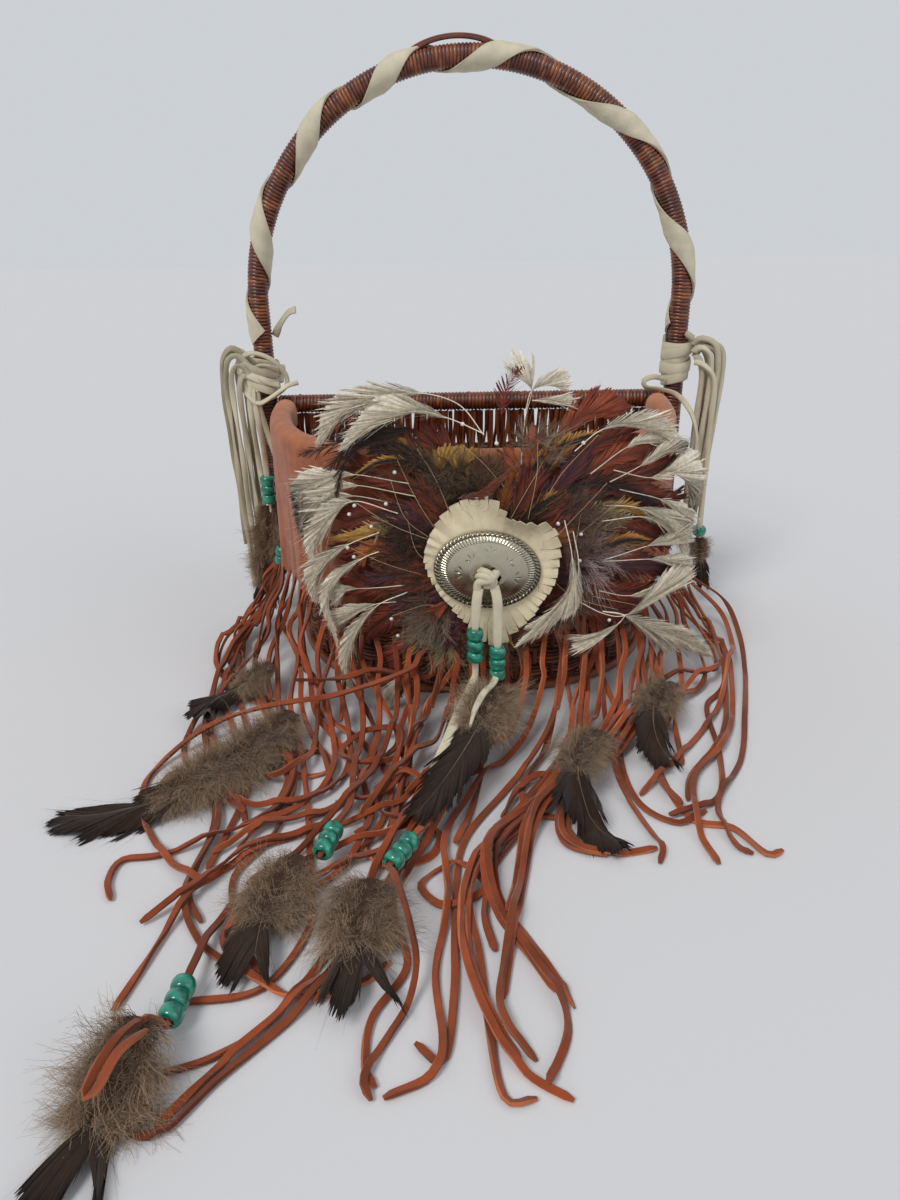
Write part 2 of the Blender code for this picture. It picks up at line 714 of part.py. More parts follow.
def lay_laces(pile):
    """Lay every lace over the ones before it, those that end in beads last."""
    lines = {}
    routes = {u: route for laces in LACES for u, route in laces.items()}
    for u in sorted(routes, key=lambda u: u in BEADED_ENDS):
        line = pile.lift(lace_line(u, routes[u]))
        if u in BEADED_ENDS:
            a, b = line[-2:]
            under = max(pile.top(a.lerp(b, k / 6), BEAD_R + 0.0045) for k in range(7))
            a.z = b.z = max(under + BEAD_R + 0.0016, BEAD_R + 0.0008)
            line = pile.lift(line)
            top = UP * (BEAD_R - 0.0010)
            pile.add([a + top, b + top])
        pile.add(line)
        lines[u] = line
    return lines


def make_fringes(pile):
    """Cut the laces from the apron's lower edge, in five runs of hem."""
    ends = lay_laces(pile)
    for name, laces in zip(FRINGES, LACES):
        strands = []
        for u in laces:
            line = ends[u]
            normals = lace_normals(line, hem_edge(u * MM)[2])
            sizes = [LACE_WIDTH] * len(line), [LACE_THICK] * len(line)
            strands.append((u * MM, LACE_WIDTH, ribbon_rings(line, normals, *sizes)[1:]))
        comb(name, hem_edge, strands, HEM_STRIP, APRON_THICK, SUEDE, 0.002)
    report_laces(ends)
    return ends


def report_laces(ends):
    """Print the least distance between the middles of two laces past their roots."""
    lines = [spread(line[2:])[0] for line in ends.values()]
    least = 1.0
    for k, a in enumerate(lines):
        for b in lines[k + 1:]:
            least = min(least, float(np.linalg.norm(a[:, None] - b[None], axis=2).min()))
    print(f"laces: {len(lines)}, least distance between two middles {1000 * least:.1f} mm")


# Beads


def bead_profile(count=1):
    """The section of a run of beads on one thong, with the hole through them."""
    profile = [(BEAD_HOLE_R, 0.0)]
    for k in range(count):
        z = k * BEAD_LENGTH
        profile += [(BEAD_R - 0.0016, z), (BEAD_R, z + 0.0018), (BEAD_R, z + BEAD_LENGTH - 0.0018)]
    profile += [(BEAD_R - 0.0016, count * BEAD_LENGTH), (BEAD_HOLE_R, count * BEAD_LENGTH)]
    return [(r, h) for r, h in profile[::-1]]


def make_beads(name, start, way, count=1, origin=(0, 0, 0)):
    verts, faces = turned(bead_profile(count), 10, way, start)
    add_mesh(name, verts, faces, GLASS_BEAD, origin)


def make_floor_beads(ends):
    for u, name in BEADED_ENDS.items():
        a, b = ends[u][-2], ends[u][-1]
        way = (b - a).normalized()
        make_beads(name, a + way * 0.002, way, 3)
    line = ends[LEFT_BEAD_LACE]
    way = (line[1] - line[0]).normalized()
    make_beads("left_lace_beads", line[0] + way * 0.0015, way, 2)


# Feathers


def feather(name, spine, width, finish, thick=0.0024, normal=UP, origin=(0, 0, 0)):
    """A vane with a ridge along its shaft, narrow at the quill and pointed at the tip."""
    line = smooth_route(spine, 0.011)
    last = len(line) - 1
    rings = []
    for k, point in enumerate(line):
        f = k / last
        way = (line[min(k + 1, last)] - line[max(k - 1, 0)]).normalized()
        front = (normal - way * normal.dot(way)).normalized()
        side = front.cross(way)
        half = width / 2 * max(math.sin(math.pi * min(f, 1.0) ** 0.7) ** 0.8, 0.07)
        ridge = thick / 2 * (1 - 0.6 * f)
        rings.append([point - side * half, point + front * ridge,
                      point + side * half, point - front * ridge])
    verts, faces = loft(rings)
    add_mesh(name, verts, faces, finish, origin, smooth=False)
    return line


def over_pile(pile, route, width, thick):
    """Give a plan route the height that lays a feather on what is under it."""
    spots = [Vector((x * MM, y * MM, 0)) for x, y in route]
    line = smooth_route(spots, 0.011)
    tops = [pile.top(p, width / 2 + 0.006) for p in line]
    rest = thick / 2 + 0.0018
    for k, p in enumerate(line):
        p.z = max(tops[max(k - 1, 0):k + 2]) + rest
    return line


# Plan routes of the feathers that lie on the fringe, from the quill to the tip.
FLOOR_FEATHERS = {
    "big_left_feather": ([(-104, -118), (-122, -150), (-146, -174), (-180, -188), (-214, -188)],
                         0.034, BROWN_FEATHER),
    "small_left_feather": ([(-122, -70), (-138, -80), (-152, -98), (-150, -118)], 0.018,
                           DARK_FEATHER),
    "lower_left_feather": ([(-124, -318), (-131, -334), (-137, -352), (-138, -372)], 0.032,
                           BROWN_FEATHER),
    "centre_left_feather": ([(-82, -234), (-90, -248), (-94, -264), (-94, -284)], 0.024,
                            BROWN_FEATHER),
    "centre_feather": ([(-50, -244), (-54, -258), (-54, -274), (-50, -292)], 0.030, BROWN_FEATHER),
    "right_feather": ([(62, -146), (50, -160), (44, -184), (50, -208), (62, -224)], 0.022,
                      DARK_FEATHER),
    "far_right_feather": ([(108, -100), (96, -116), (90, -140), (96, -164)], 0.020,
                          DARK_FEATHER),
}


def make_floor_feathers(pile):
    for name, (route, width, finish) in FLOOR_FEATHERS.items():
        line = over_pile(pile, route, width, 0.003)
        feather(name, line, width, finish, thick=0.003)
        pile.add(line)


def spray_at(x, z, lift=0.0):
    """A point on the spray, x and z in millimetres from the floor's middle, and its normal."""
    x, z = x * MM, z * MM
    outward = Vector((2 * SPRAY_CURVE * x, -1, 0)).normalized()
    return Vector((x, SPRAY_Y + SPRAY_CURVE * x * x, z)) + outward * lift * MM, outward


def make_spray_pad():
    """The dark down at the middle of the spray, a low ring round the thong's hole."""
    rings = []
    for k in range(28):
        angle = 2 * math.pi * k / 28
        edge = 1 + 0.05 * math.sin(5 * angle) + 0.03 * math.sin(11 * angle)
        ring = []
        for reach, lift in ((0.08, 0.6), (edge, 0.6), (edge, 2.2), (0.72, 6.2), (0.08, 6.4)):
            x = SPRAY_CENTRE[0] + 45 * reach * math.cos(angle)
            z = SPRAY_CENTRE[1] + 4 + 39 * reach * math.sin(angle)
            ring.append(spray_at(x, z, lift)[0])
        rings.append(ring)
    verts, faces = loft(rings, closed=True)
    add_mesh("down_pad", verts, faces, DARK_FEATHER)


def make_fan(name, radius, lift, blades, finish):
    """Feathers side by side on one arc of quill ends.

    A blade is (root angle in degrees, then x and z points out to the tip).
    """
    cx, cz = SPRAY_CENTRE

    def edge(angle):
        a = math.radians(angle)
        point, normal = spray_at(cx + radius * math.cos(a), cz + radius * math.sin(a), lift)
        inner, _ = spray_at(cx + (radius - 1) * math.cos(a), cz + (radius - 1) * math.sin(a), lift)
        return point, (point - inner).normalized(), normal

    strands = []
    root = math.degrees(3.0 / radius)
    for angle, *route in blades:
        start, _, normal = edge(angle)
        spots = [start] + [spray_at(x, z, lift + (rest[0] if rest else 0))[0]
                           for x, z, *rest in route]
        line = smooth_route(spots, 0.010)
        last = len(line) - 1
        sizes = []
        for k in range(len(line)):
            f = k / last
            full = BLADE_WIDTH * math.sin(math.pi * (0.12 + 0.85 * f)) ** 0.7
            sizes.append(max(full, 0.001))
        sizes[0] = 0.003
        rings = ribbon_rings(line, [normal] * len(line), sizes, [0.001] * len(line))
        strands.append((angle, root, rings[1:]))
    comb(name, edge, strands, 0.004, 0.001, finish, math.degrees(1.0 / radius))


def ray_blade(angle, length, radius, bend):
    """A blade of a fan that runs straight out, or bends a little on its way."""
    cx, cz = SPRAY_CENTRE
    spots = []
    for f in (0.35, 0.7, 1.0):
        a = math.radians(angle + bend * f * f)
        reach = radius + length * f
        spots.append((cx + reach * math.cos(a), cz + reach * math.sin(a)))
    return (angle, *spots)


# Fans that run straight out: name, radius of the quill ends, finish, then the angle,
# length and bend of each blade, in degrees and millimetres.
RAY_FANS = [
    ("rust_feathers_left", 60, RUST_FEATHER,
     [(158, 36, 0), (168, 40, 0), (178, 42, 0), (188, 38, 0), (198, 40, 0), (208, 34, 0)]),
    ("rust_feathers_right", 60, RUST_FEATHER,
     [(-32, 38, 0), (-22, 44, 0), (-12, 50, 0), (-2, 54, 0), (8, 50, 0), (18, 52, 0),
      (28, 46, 0), (38, 44, 0)]),
    ("rust_feathers_top", 54, RUST_FEATHER,
     [(50, 42, -8), (60, 36, -6), (70, 30, 0), (80, 34, 0), (92, 26, 0)]),
    ("gold_feathers_top", 56, GOLD_FEATHER,
     [(106, 30, 4), (117, 36, 6), (128, 38, 8), (140, 34, 8)]),
]

# Fans whose blades curl over: name, radius, lift and finish, then each blade's root angle
# and the x and z of three points on it, with the extra lift of any that stands off.
CURLED_FANS = [
    ("dark_feathers_left", 66, 2.6, DARK_FEATHER,
     [(116, (-45, 163), (-68, 158), (-92, 147)),
      (122, (-44, 153), (-66, 144), (-83, 130)),
      (129, (-42, 141), (-60, 134), (-73, 121))]),
    ("cream_feathers_left", 72, 4.4, CREAM_FEATHER,
     [(144, (-66, 133), (-81, 128), (-95, 119)),
      (155, (-73, 117), (-89, 108), (-98, 92)),
      (166, (-77, 104), (-88, 92), (-91, 76)),
      (177, (-77, 90), (-83, 74), (-82, 56))]),
    ("cream_feathers_lower", 64, 3.0, CREAM_FEATHER,
     [(196, (-68, 65), (-76, 57), (-80, 46)),
      (209, (-61, 51, 2), (-68, 38, 10), (-69, 20, 22)),
      (223, (-46, 34, 8), (-50, 24, 18), (-51, 16, 29))]),
    ("cream_feathers_upper_right", 88, 3.0, CREAM_FEATHER,
     [(51, (74, 162), (92, 155), (108, 145)),
      (41, (86, 148), (100, 143), (114, 135)),
      (32, (92, 136), (106, 131), (118, 121))]),
    ("cream_feathers_right", 84, 3.0, CREAM_FEATHER,
     [(12, (100, 107), (112, 97), (120, 82)),
      (-1, (101, 88), (111, 83), (120, 74)),
      (-14, (98, 65), (110, 54, 3), (117, 38, 9)),
      (-26, (90, 49, 2), (101, 38, 9), (108, 26, 18))]),
]

# Single feathers of the spray: name, lift, width, finish and x and z points.
SPRAY_FEATHERS = [
    ("top_cream_feather", 5.6, 0.016, CREAM_FEATHER,
     [(-8, 169), (-26, 175), (-48, 174), (-68, 165), (-84, 150)]),
    ("curved_hackle", 10.0, 0.012, CREAM_FEATHER,
     [(30, 134), (42, 116), (49, 96), (46, 76), (36, 60), (22, 47)]),
    ("upright_feather", 4.0, 0.010, RUST_FEATHER, [(11, 166), (13, 180), (18, 197)]),
]


def make_spray():
    make_spray_pad()
    for name, radius, finish, rays in RAY_FANS:
        blades = [ray_blade(angle, length, radius, bend) for angle, length, bend in rays]
        make_fan(name, radius, 1.0, blades, finish)
    for name, radius, lift, finish, blades in CURLED_FANS:
        make_fan(name, radius, lift, blades, finish)
    for name, lift, width, finish, route in SPRAY_FEATHERS:
        spine = [spray_at(x, z, lift)[0] for x, z in route]
        feather(name, spine, width, finish, thick=0.0012, normal=FRONT)


# Rosette, concho and its thong


def rosette_radius(angle):
    drop = math.degrees(angle) % 360 - 270
    return 0.037 + 0.009 * math.exp(-(drop / 26) ** 2)


def make_rosette():
    """A leather disc drawn down to a point, slit all round, with a hole for the thong."""
    cx, cz = (c * MM for c in SPRAY_CENTRE)
    outer, inner = [], []
    for k in range(ROSETTE_SLITS):
        for f, cut in ((0.0, 0.006), (0.06, 0.0), (0.5, -0.0003), (0.94, 0.0)):
            angle = 2 * math.pi * (k + f) / ROSETTE_SLITS
            reach = rosette_radius(angle) - cut
            way = (math.cos(angle), math.sin(angle))
            outer.append((cx + reach * way[0], cz + reach * way[1]))
            inner.append((cx + 0.004 * way[0], cz + 0.004 * way[1]))
    rings = []
    for (ox, oz), (ix, iz) in zip(outer, inner):
        back, front = ROSETTE_Y, ROSETTE_Y - ROSETTE_THICK
        rings.append([Vector((ox, back, oz)), Vector((ox, front, oz)),
                      Vector((ix, front, iz)), Vector((ix, back, iz))])
    verts, faces = loft(rings, closed=True)
    add_mesh("leather_rosette", verts, faces, CREAM, smooth=False)


def concho_frame():
    cx, cz = (c * MM for c in SPRAY_CENTRE)
    turn = Matrix.Rotation(-CONCHO_TILT, 4, "Y")
    return Matrix.Translation((cx, CONCHO_Y, cz)) @ turn


def make_concho():
    """A domed oval with a raised roped edge and two slots either side of a bar."""
    frame = concho_frame()
    profile = [(1.0, 0.0), (1.0, 0.0012), (0.95, 0.0019), (0.89, 0.0014), (0.80, 0.0026),
               (0.60, 0.0046), (0.34, 0.0060), (0.06, CONCHO_DOME)]
    back = [(0.06, CONCHO_DOME - CONCHO_SHELL), (0.34, 0.0050), (0.60, 0.0036), (0.80, 0.0014),
            (0.90, 0.0)]
    rings = []
    for k in range(28):
        angle = 2 * math.pi * k / 28
        ring = []
        for reach, rise in profile + back:
            local = Vector((CONCHO_HALF[0] * reach * math.cos(angle), -rise,
                            CONCHO_HALF[1] * reach * math.sin(angle)))
            ring.append(frame @ local)
        rings.append(ring)
    centre = frame.translation
    verts, faces = loft(rings, closed=True)
    concho = add_mesh("concho", verts, faces, SILVER, origin=centre)
    for side in (-1, 1):
        slot = slot_cutter(side, frame)
        cut = concho.modifiers.new("slot", "BOOLEAN")
        cut.object = slot
        cut.solver = "EXACT"


def slot_cutter(side, frame):
    """A slot that leans in towards the top, so that the pair leaves a bar between them."""
    corners = [(1.2, -3.4), (1.2, 3.8), (2.8, 4.2), (7.0, -1.0), (6.4, -3.4)]
    rings = []
    for y in (0.002, -0.012):
        ring = [Vector((side * x * MM, y, z * MM)) for x, z in corners]
        rings.append([frame @ p for p in ring])
    verts, faces = loft(rings)
    slot = add_mesh(f"slot_cutter_{'right' if side > 0 else 'left'}", verts, faces, SILVER)
    slot.hide_render = True
    slot.display_type = "WIRE"
    return slot


def make_tie():
    """The middle of the thong: over the bar between the slots, back through each."""
    frame = concho_frame()
    reach, front, back = 0.0036, -CONCHO_DOME - 0.0024, -0.0012
    spots = [(-reach, back), (-reach, front + 0.0012), (-reach + 0.0010, front),
             (reach - 0.0010, front), (reach, front + 0.0012), (reach, back)]
    line = [frame @ Vector((x, y, -0.0005)) for x, y in spots]
    add_tube("concho_tie", line, TIE_R, CREAM)


# The thong's two tails: start below the tie, run straight through the beads, then down
# over the fringe; x, y and z in millimetres.
LEFT_TAIL = [(-1, -113, 83), (-2, -113, 72), (-3, -113, 60), (-3, -113, 36), (-5, -121, 26),
             (-10, -138, 21), (-16, -154, 19), (-22, -170, 18)]
RIGHT_TAIL = [(9, -113, 83), (9, -113, 72), (9, -113, 56), (9, -113, 30)]
DROP_PIVOT = (0.004, -0.113, 0.084)
LEFT_BEADS_TOP = 62
RIGHT_BEADS_TOP = 51


def make_drops():
    left = [Vector(p) * MM for p in LEFT_TAIL]
    add_tube("left_tail", straight_then_smooth(left, 4), THONG_R, CREAM, origin=DROP_PIVOT)
    right = [Vector(p) * MM for p in RIGHT_TAIL]
    add_tube("right_tail", right, THONG_R, CREAM, origin=DROP_PIVOT)
    for name, x, top in (("left", -3, LEFT_BEADS_TOP), ("right", 9, RIGHT_BEADS_TOP)):
        for k in range(3):
            start = Vector((x * MM, -0.113, top * MM - k * (BEAD_LENGTH + GAP)))
            way = Vector((0, 0, -1))
            make_beads(f"{name}_tail_bead_{k + 1}", start, way, origin=DROP_PIVOT)
    spine = [Vector(p) * MM for p in ((9, -116, 27), (5, -128, 26), (-3, -146, 25),
                                      (-14, -168, 25), (-24, -190, 23), (-30, -207, 21))]
    feather("drop_feather", spine, 0.020, DARK_FEATHER, origin=DROP_PIVOT)


def straight_then_smooth(points, straight):
    """Keep the first stretches straight, for the beads, and round the rest."""
    return points[:straight - 1] + smooth_route(points[straight - 1:], 0.006)


# Thong bundles at the hoop's feet


def make_bundle(side, drops, bead_row):
    """Thongs folded over at the knot: one head, and the ends that hang from it."""
    word = "left" if side < 0 else "right"
    pivot = Vector((side * BUNDLE_X, BUNDLE_Y, BUNDLE_Z + BUNDLE_TOP / 2))

    def edge(s):
        return Vector((s, BUNDLE_Y, BUNDLE_Z)), -UP, FRONT

    strands = []
    for k, bottom in enumerate(drops):
        x = side * (BUNDLE_X - 0.008 + 0.0032 * k)
        sway = side * 0.0016 * (k - 2.5) / 2.5
        forward = -0.0065 if k == bead_row else 0.0
        y = BUNDLE_Y + forward
        spots = [Vector((x, BUNDLE_Y, BUNDLE_Z)),
                 Vector((x, BUNDLE_Y + forward * 0.4, BUNDLE_Z - 0.010)),
                 Vector((x, y, BUNDLE_Z - 0.024)),
                 Vector((x + sway, y, (BUNDLE_Z + bottom) / 2)),
                 Vector((x + sway, y, bottom))]
        rings = ribbon_rings(spots, [FRONT] * 5, [THONG_WIDTH] * 5, [0.0018] * 5)
        strands.append((x, THONG_WIDTH, rings[1:]))
    comb(f"{word}_thongs", edge, strands, BUNDLE_TOP, 0.004, CREAM, 0.0008, origin=pivot)
    return pivot


def make_bundles():
    pivot = make_bundle(-1, (0.074, 0.022, 0.030, 0.016, 0.026, 0.034), 0)
    x = -(BUNDLE_X - 0.008) + 0.0016
    spot = Vector((x, BUNDLE_Y - 0.0065, 0.101))
    make_beads("left_bundle_beads", spot, (0, 0, -1), 3, origin=pivot)
    spine = [Vector((x - d, BUNDLE_Y - 0.0065, z)) for d, z in
             ((0, 0.0735), (0.002, 0.056), (0.005, 0.034), (0.008, 0.012))]
    feather("left_bundle_feather", spine, 0.016, BROWN_FEATHER, normal=FRONT, origin=pivot)
    pivot = make_bundle(1, (0.080, 0.072, 0.076, 0.068, 0.074, 0.050), 5)
    x = BUNDLE_X + 0.008 + 0.0016
    spot = Vector((x, BUNDLE_Y - 0.0065, 0.060))
    make_beads("right_bundle_bead", spot, (0, 0, -1), 1, origin=pivot)
    spine = [Vector((x + d, BUNDLE_Y - 0.0065, z)) for d, z in
             ((0, 0.0495), (0.002, 0.040), (0.005, 0.026), (0.007, 0.012))]
    feather("right_bundle_feather", spine, 0.014, DARK_FEATHER, normal=FRONT, origin=pivot)


def main():
    clear_scene()
    make_base()
    make_front_wall()
    make_back_wall()
    make_rims()
    make_hoop()
    make_handle_strip()
    make_cane_loop()
    make_binding("left_knot", -1, 5)
    make_binding("right_binding", 1, 6)
    make_apron()
    pile = Pile()
    ends = make_fringes(pile)
    make_floor_beads(ends)
    make_floor_feathers(pile)
    make_spray()
    make_rosette()
    make_concho()
    make_tie()
    make_drops()
    make_bundles()


BOW = Bow()
main()
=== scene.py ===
"""The looks of a fringed basket: woven cane, suede, feathers, a concho and beads."""

import json
import math
import random

import bpy
import numpy as np
from mathutils import Matrix, Vector
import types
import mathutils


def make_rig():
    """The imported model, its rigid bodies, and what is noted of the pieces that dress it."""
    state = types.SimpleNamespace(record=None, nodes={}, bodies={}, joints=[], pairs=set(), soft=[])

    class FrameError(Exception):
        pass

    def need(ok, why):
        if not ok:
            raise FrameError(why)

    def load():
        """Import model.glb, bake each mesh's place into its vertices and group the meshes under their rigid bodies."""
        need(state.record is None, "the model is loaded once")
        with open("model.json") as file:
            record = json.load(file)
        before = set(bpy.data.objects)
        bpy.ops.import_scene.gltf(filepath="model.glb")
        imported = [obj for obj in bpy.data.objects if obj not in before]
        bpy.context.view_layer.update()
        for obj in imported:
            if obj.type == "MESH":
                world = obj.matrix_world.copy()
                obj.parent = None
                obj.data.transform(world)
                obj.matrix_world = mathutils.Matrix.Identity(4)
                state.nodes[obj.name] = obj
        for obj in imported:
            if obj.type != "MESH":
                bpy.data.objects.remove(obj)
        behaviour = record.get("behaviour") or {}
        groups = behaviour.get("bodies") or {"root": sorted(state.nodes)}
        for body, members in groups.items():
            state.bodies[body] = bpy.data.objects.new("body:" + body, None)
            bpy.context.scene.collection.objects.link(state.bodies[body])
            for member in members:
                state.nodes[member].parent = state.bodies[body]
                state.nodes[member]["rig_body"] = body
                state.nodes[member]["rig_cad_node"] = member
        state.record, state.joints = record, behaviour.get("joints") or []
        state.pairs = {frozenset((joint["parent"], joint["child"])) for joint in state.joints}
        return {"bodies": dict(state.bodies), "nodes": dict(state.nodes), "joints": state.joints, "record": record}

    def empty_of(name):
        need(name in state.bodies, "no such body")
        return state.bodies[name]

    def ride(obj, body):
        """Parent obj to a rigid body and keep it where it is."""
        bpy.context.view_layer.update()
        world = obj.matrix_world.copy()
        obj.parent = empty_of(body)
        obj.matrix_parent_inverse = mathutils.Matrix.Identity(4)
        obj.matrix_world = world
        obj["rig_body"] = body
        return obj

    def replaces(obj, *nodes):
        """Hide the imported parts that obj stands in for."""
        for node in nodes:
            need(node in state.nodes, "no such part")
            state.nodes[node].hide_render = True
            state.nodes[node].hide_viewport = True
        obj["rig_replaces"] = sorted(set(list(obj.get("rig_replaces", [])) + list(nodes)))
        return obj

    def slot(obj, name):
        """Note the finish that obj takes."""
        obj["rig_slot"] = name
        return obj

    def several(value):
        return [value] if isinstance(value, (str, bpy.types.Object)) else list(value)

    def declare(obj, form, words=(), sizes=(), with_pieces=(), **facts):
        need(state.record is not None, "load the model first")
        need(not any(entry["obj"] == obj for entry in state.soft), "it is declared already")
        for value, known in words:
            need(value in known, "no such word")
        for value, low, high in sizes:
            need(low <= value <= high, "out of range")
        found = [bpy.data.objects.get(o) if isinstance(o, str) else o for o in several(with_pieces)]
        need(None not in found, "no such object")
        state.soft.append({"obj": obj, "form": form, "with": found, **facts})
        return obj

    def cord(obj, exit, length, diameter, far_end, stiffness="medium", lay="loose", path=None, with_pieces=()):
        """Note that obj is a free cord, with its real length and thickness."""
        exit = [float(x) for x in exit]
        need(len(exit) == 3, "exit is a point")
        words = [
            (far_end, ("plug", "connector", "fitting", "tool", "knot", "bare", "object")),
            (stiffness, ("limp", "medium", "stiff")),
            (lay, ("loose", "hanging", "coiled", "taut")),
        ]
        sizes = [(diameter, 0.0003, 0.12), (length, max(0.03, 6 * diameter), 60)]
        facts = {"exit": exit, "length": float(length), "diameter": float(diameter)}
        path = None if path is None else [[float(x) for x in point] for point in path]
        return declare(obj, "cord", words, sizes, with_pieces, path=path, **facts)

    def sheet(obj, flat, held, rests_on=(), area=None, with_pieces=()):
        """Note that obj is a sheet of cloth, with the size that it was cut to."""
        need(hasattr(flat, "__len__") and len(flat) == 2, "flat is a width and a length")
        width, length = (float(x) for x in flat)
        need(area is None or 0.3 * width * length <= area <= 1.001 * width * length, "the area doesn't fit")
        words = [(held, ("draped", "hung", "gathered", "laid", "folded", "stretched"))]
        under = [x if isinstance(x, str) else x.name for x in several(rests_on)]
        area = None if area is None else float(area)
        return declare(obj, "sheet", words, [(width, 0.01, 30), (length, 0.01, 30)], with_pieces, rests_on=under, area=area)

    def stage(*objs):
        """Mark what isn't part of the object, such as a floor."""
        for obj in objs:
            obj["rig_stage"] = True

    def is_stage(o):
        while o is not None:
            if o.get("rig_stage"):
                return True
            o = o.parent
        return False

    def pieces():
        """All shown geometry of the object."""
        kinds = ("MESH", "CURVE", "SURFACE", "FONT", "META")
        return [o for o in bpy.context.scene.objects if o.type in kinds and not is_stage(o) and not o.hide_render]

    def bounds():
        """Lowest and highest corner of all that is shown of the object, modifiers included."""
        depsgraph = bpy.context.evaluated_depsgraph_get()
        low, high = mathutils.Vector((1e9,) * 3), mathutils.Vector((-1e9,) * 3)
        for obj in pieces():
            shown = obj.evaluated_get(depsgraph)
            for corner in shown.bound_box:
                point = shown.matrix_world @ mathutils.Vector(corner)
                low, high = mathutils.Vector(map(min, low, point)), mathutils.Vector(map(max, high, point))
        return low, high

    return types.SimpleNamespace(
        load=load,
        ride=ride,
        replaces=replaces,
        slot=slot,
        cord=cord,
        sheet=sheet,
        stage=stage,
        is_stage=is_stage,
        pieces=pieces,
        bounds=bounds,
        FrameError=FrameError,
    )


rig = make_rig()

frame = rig.load()
cad_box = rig.bounds()

MM = 0.001
# The same sizes as the solids.
HALF_WIDTH, BOW_DEPTH, BOW_POWER, BACK_Y = 0.121, 0.140, 2.6, 0.060
WALL, TAPER = 0.005, 0.008
RIM_Z, RIM_R = 0.143, 0.005
BACK_RIM_Z, BACK_RIM_R, BACK_RIM_HALF = 0.145, 0.006, 0.1262
BACK_WALL_Y, BACK_WALL_HALF, WEAVE_TOP = 0.056, 0.1235, 0.117
POSTS, BACK_BANDS, FRONT_BANDS = 36, 11, 13
HOOP_R, HOOP_TUBE_R, HOOP_FOOT_Z, HOOP_SPRING_Z = 0.134, 0.0065, 0.040, 0.208
APRON_THICK, APRON_LIFT, HEM_Z, FOLD_DEPTH, FOLDS = 0.0018, 0.0054, 0.062, 0.0018, 11
BEAD_R, BEAD_HOLE_R, BEAD_LENGTH = 0.0047, 0.0022, 0.0063
SPRAY_Y, SPRAY_CURVE = -0.092, 2.2
SPRAY_CENTRE = (4, 91)

# Sizes that only the looks have: the laces are a little finer than their solids.
LACE_WIDTH, LACE_THICK, LACE_STEP = 0.0030, 0.0014, 0.003
WEAVE_LOW, WEAVE_SWING, WEAVE_SLACK = 0.0066, 0.0014, 0.0001
POST_R, BAND_CANES = 0.0014, 4
APRON_END, FRONT_RIM_END = 0.013, 0.0115


def rgb(r, g, b):
    """A colour written in 0 to 255 steps, as the shader's linear numbers."""
    return np.array([(c / 255) ** 2.2 for c in (r, g, b)])


def mix(a, b, t):
    return a + (b - a) * t


def add_object(name, data):
    item = bpy.data.objects.new(name, data)
    bpy.context.scene.collection.objects.link(item)
    return item


def connect(tree, node, inputs):
    """Set a shader node's inputs to values, or link them to other nodes' outputs."""
    for key, value in inputs.items():
        if isinstance(value, bpy.types.NodeSocket):
            tree.links.new(value, node.inputs[key])
        else:
            node.inputs[key].default_value = value


def add_node(tree, kind, inputs=None, operation=None):
    node = tree.nodes.new("ShaderNode" + kind)
    if operation:
        node.operation = operation
    connect(tree, node, inputs or {})
    return node


# Camera, floor and light

def make_camera():
    """The camera that was fitted to the photo."""
    data = bpy.data.cameras.new("camera")
    data.sensor_width = 36
    data.lens = 27.09
    data.clip_start = 0.02
    camera = add_object("camera", data)
    pitch, roll = math.radians(25), math.radians(1)
    ahead = Vector((0, math.cos(pitch), -math.sin(pitch)))
    level = Vector((0, math.sin(pitch), math.cos(pitch)))
    right = Vector((math.cos(roll), 0, 0)) - level * math.sin(roll)
    up = Vector((math.sin(roll), 0, 0)) + level * math.cos(roll)
    turn = Matrix((right, up, -ahead)).transposed().to_4x4()
    turn.translation = Vector((-0.016, -0.540, 0.278))
    camera.matrix_world = turn
    bpy.context.scene.camera = camera


def sun(name, side, spread, strength, colour):
    """A soft lamp from one side that is as strong everywhere on the floor."""
    data = bpy.data.lights.new(name, "SUN")
    data.angle = math.radians(spread)
    data.energy = strength
    data.color = colour
    light = add_object(name, data)
    light.rotation_euler = (-Vector(side)).to_track_quat("-Z", "Y").to_euler()


def pale_for_camera(tree, plain, pale, strength):
    """Show a flat pale tone to the camera, to gloss and through glass; elsewhere the plain one."""
    rays = add_node(tree, "LightPath").outputs
    seen = add_node(tree, "Math", {0: rays["Is Camera Ray"], 1: rays["Is Glossy Ray"]}, "MAXIMUM")
    seen = add_node(tree, "Math", {0: seen.outputs[0], 1: rays["Is Transmission Ray"]}, "MAXIMUM")
    shown = add_node(tree, "Background", {"Color": (*pale, 1), "Strength": strength})
    return add_node(tree, "MixShader",
                    {0: seen.outputs[0], 1: plain.outputs[0], 2: shown.outputs[0]})


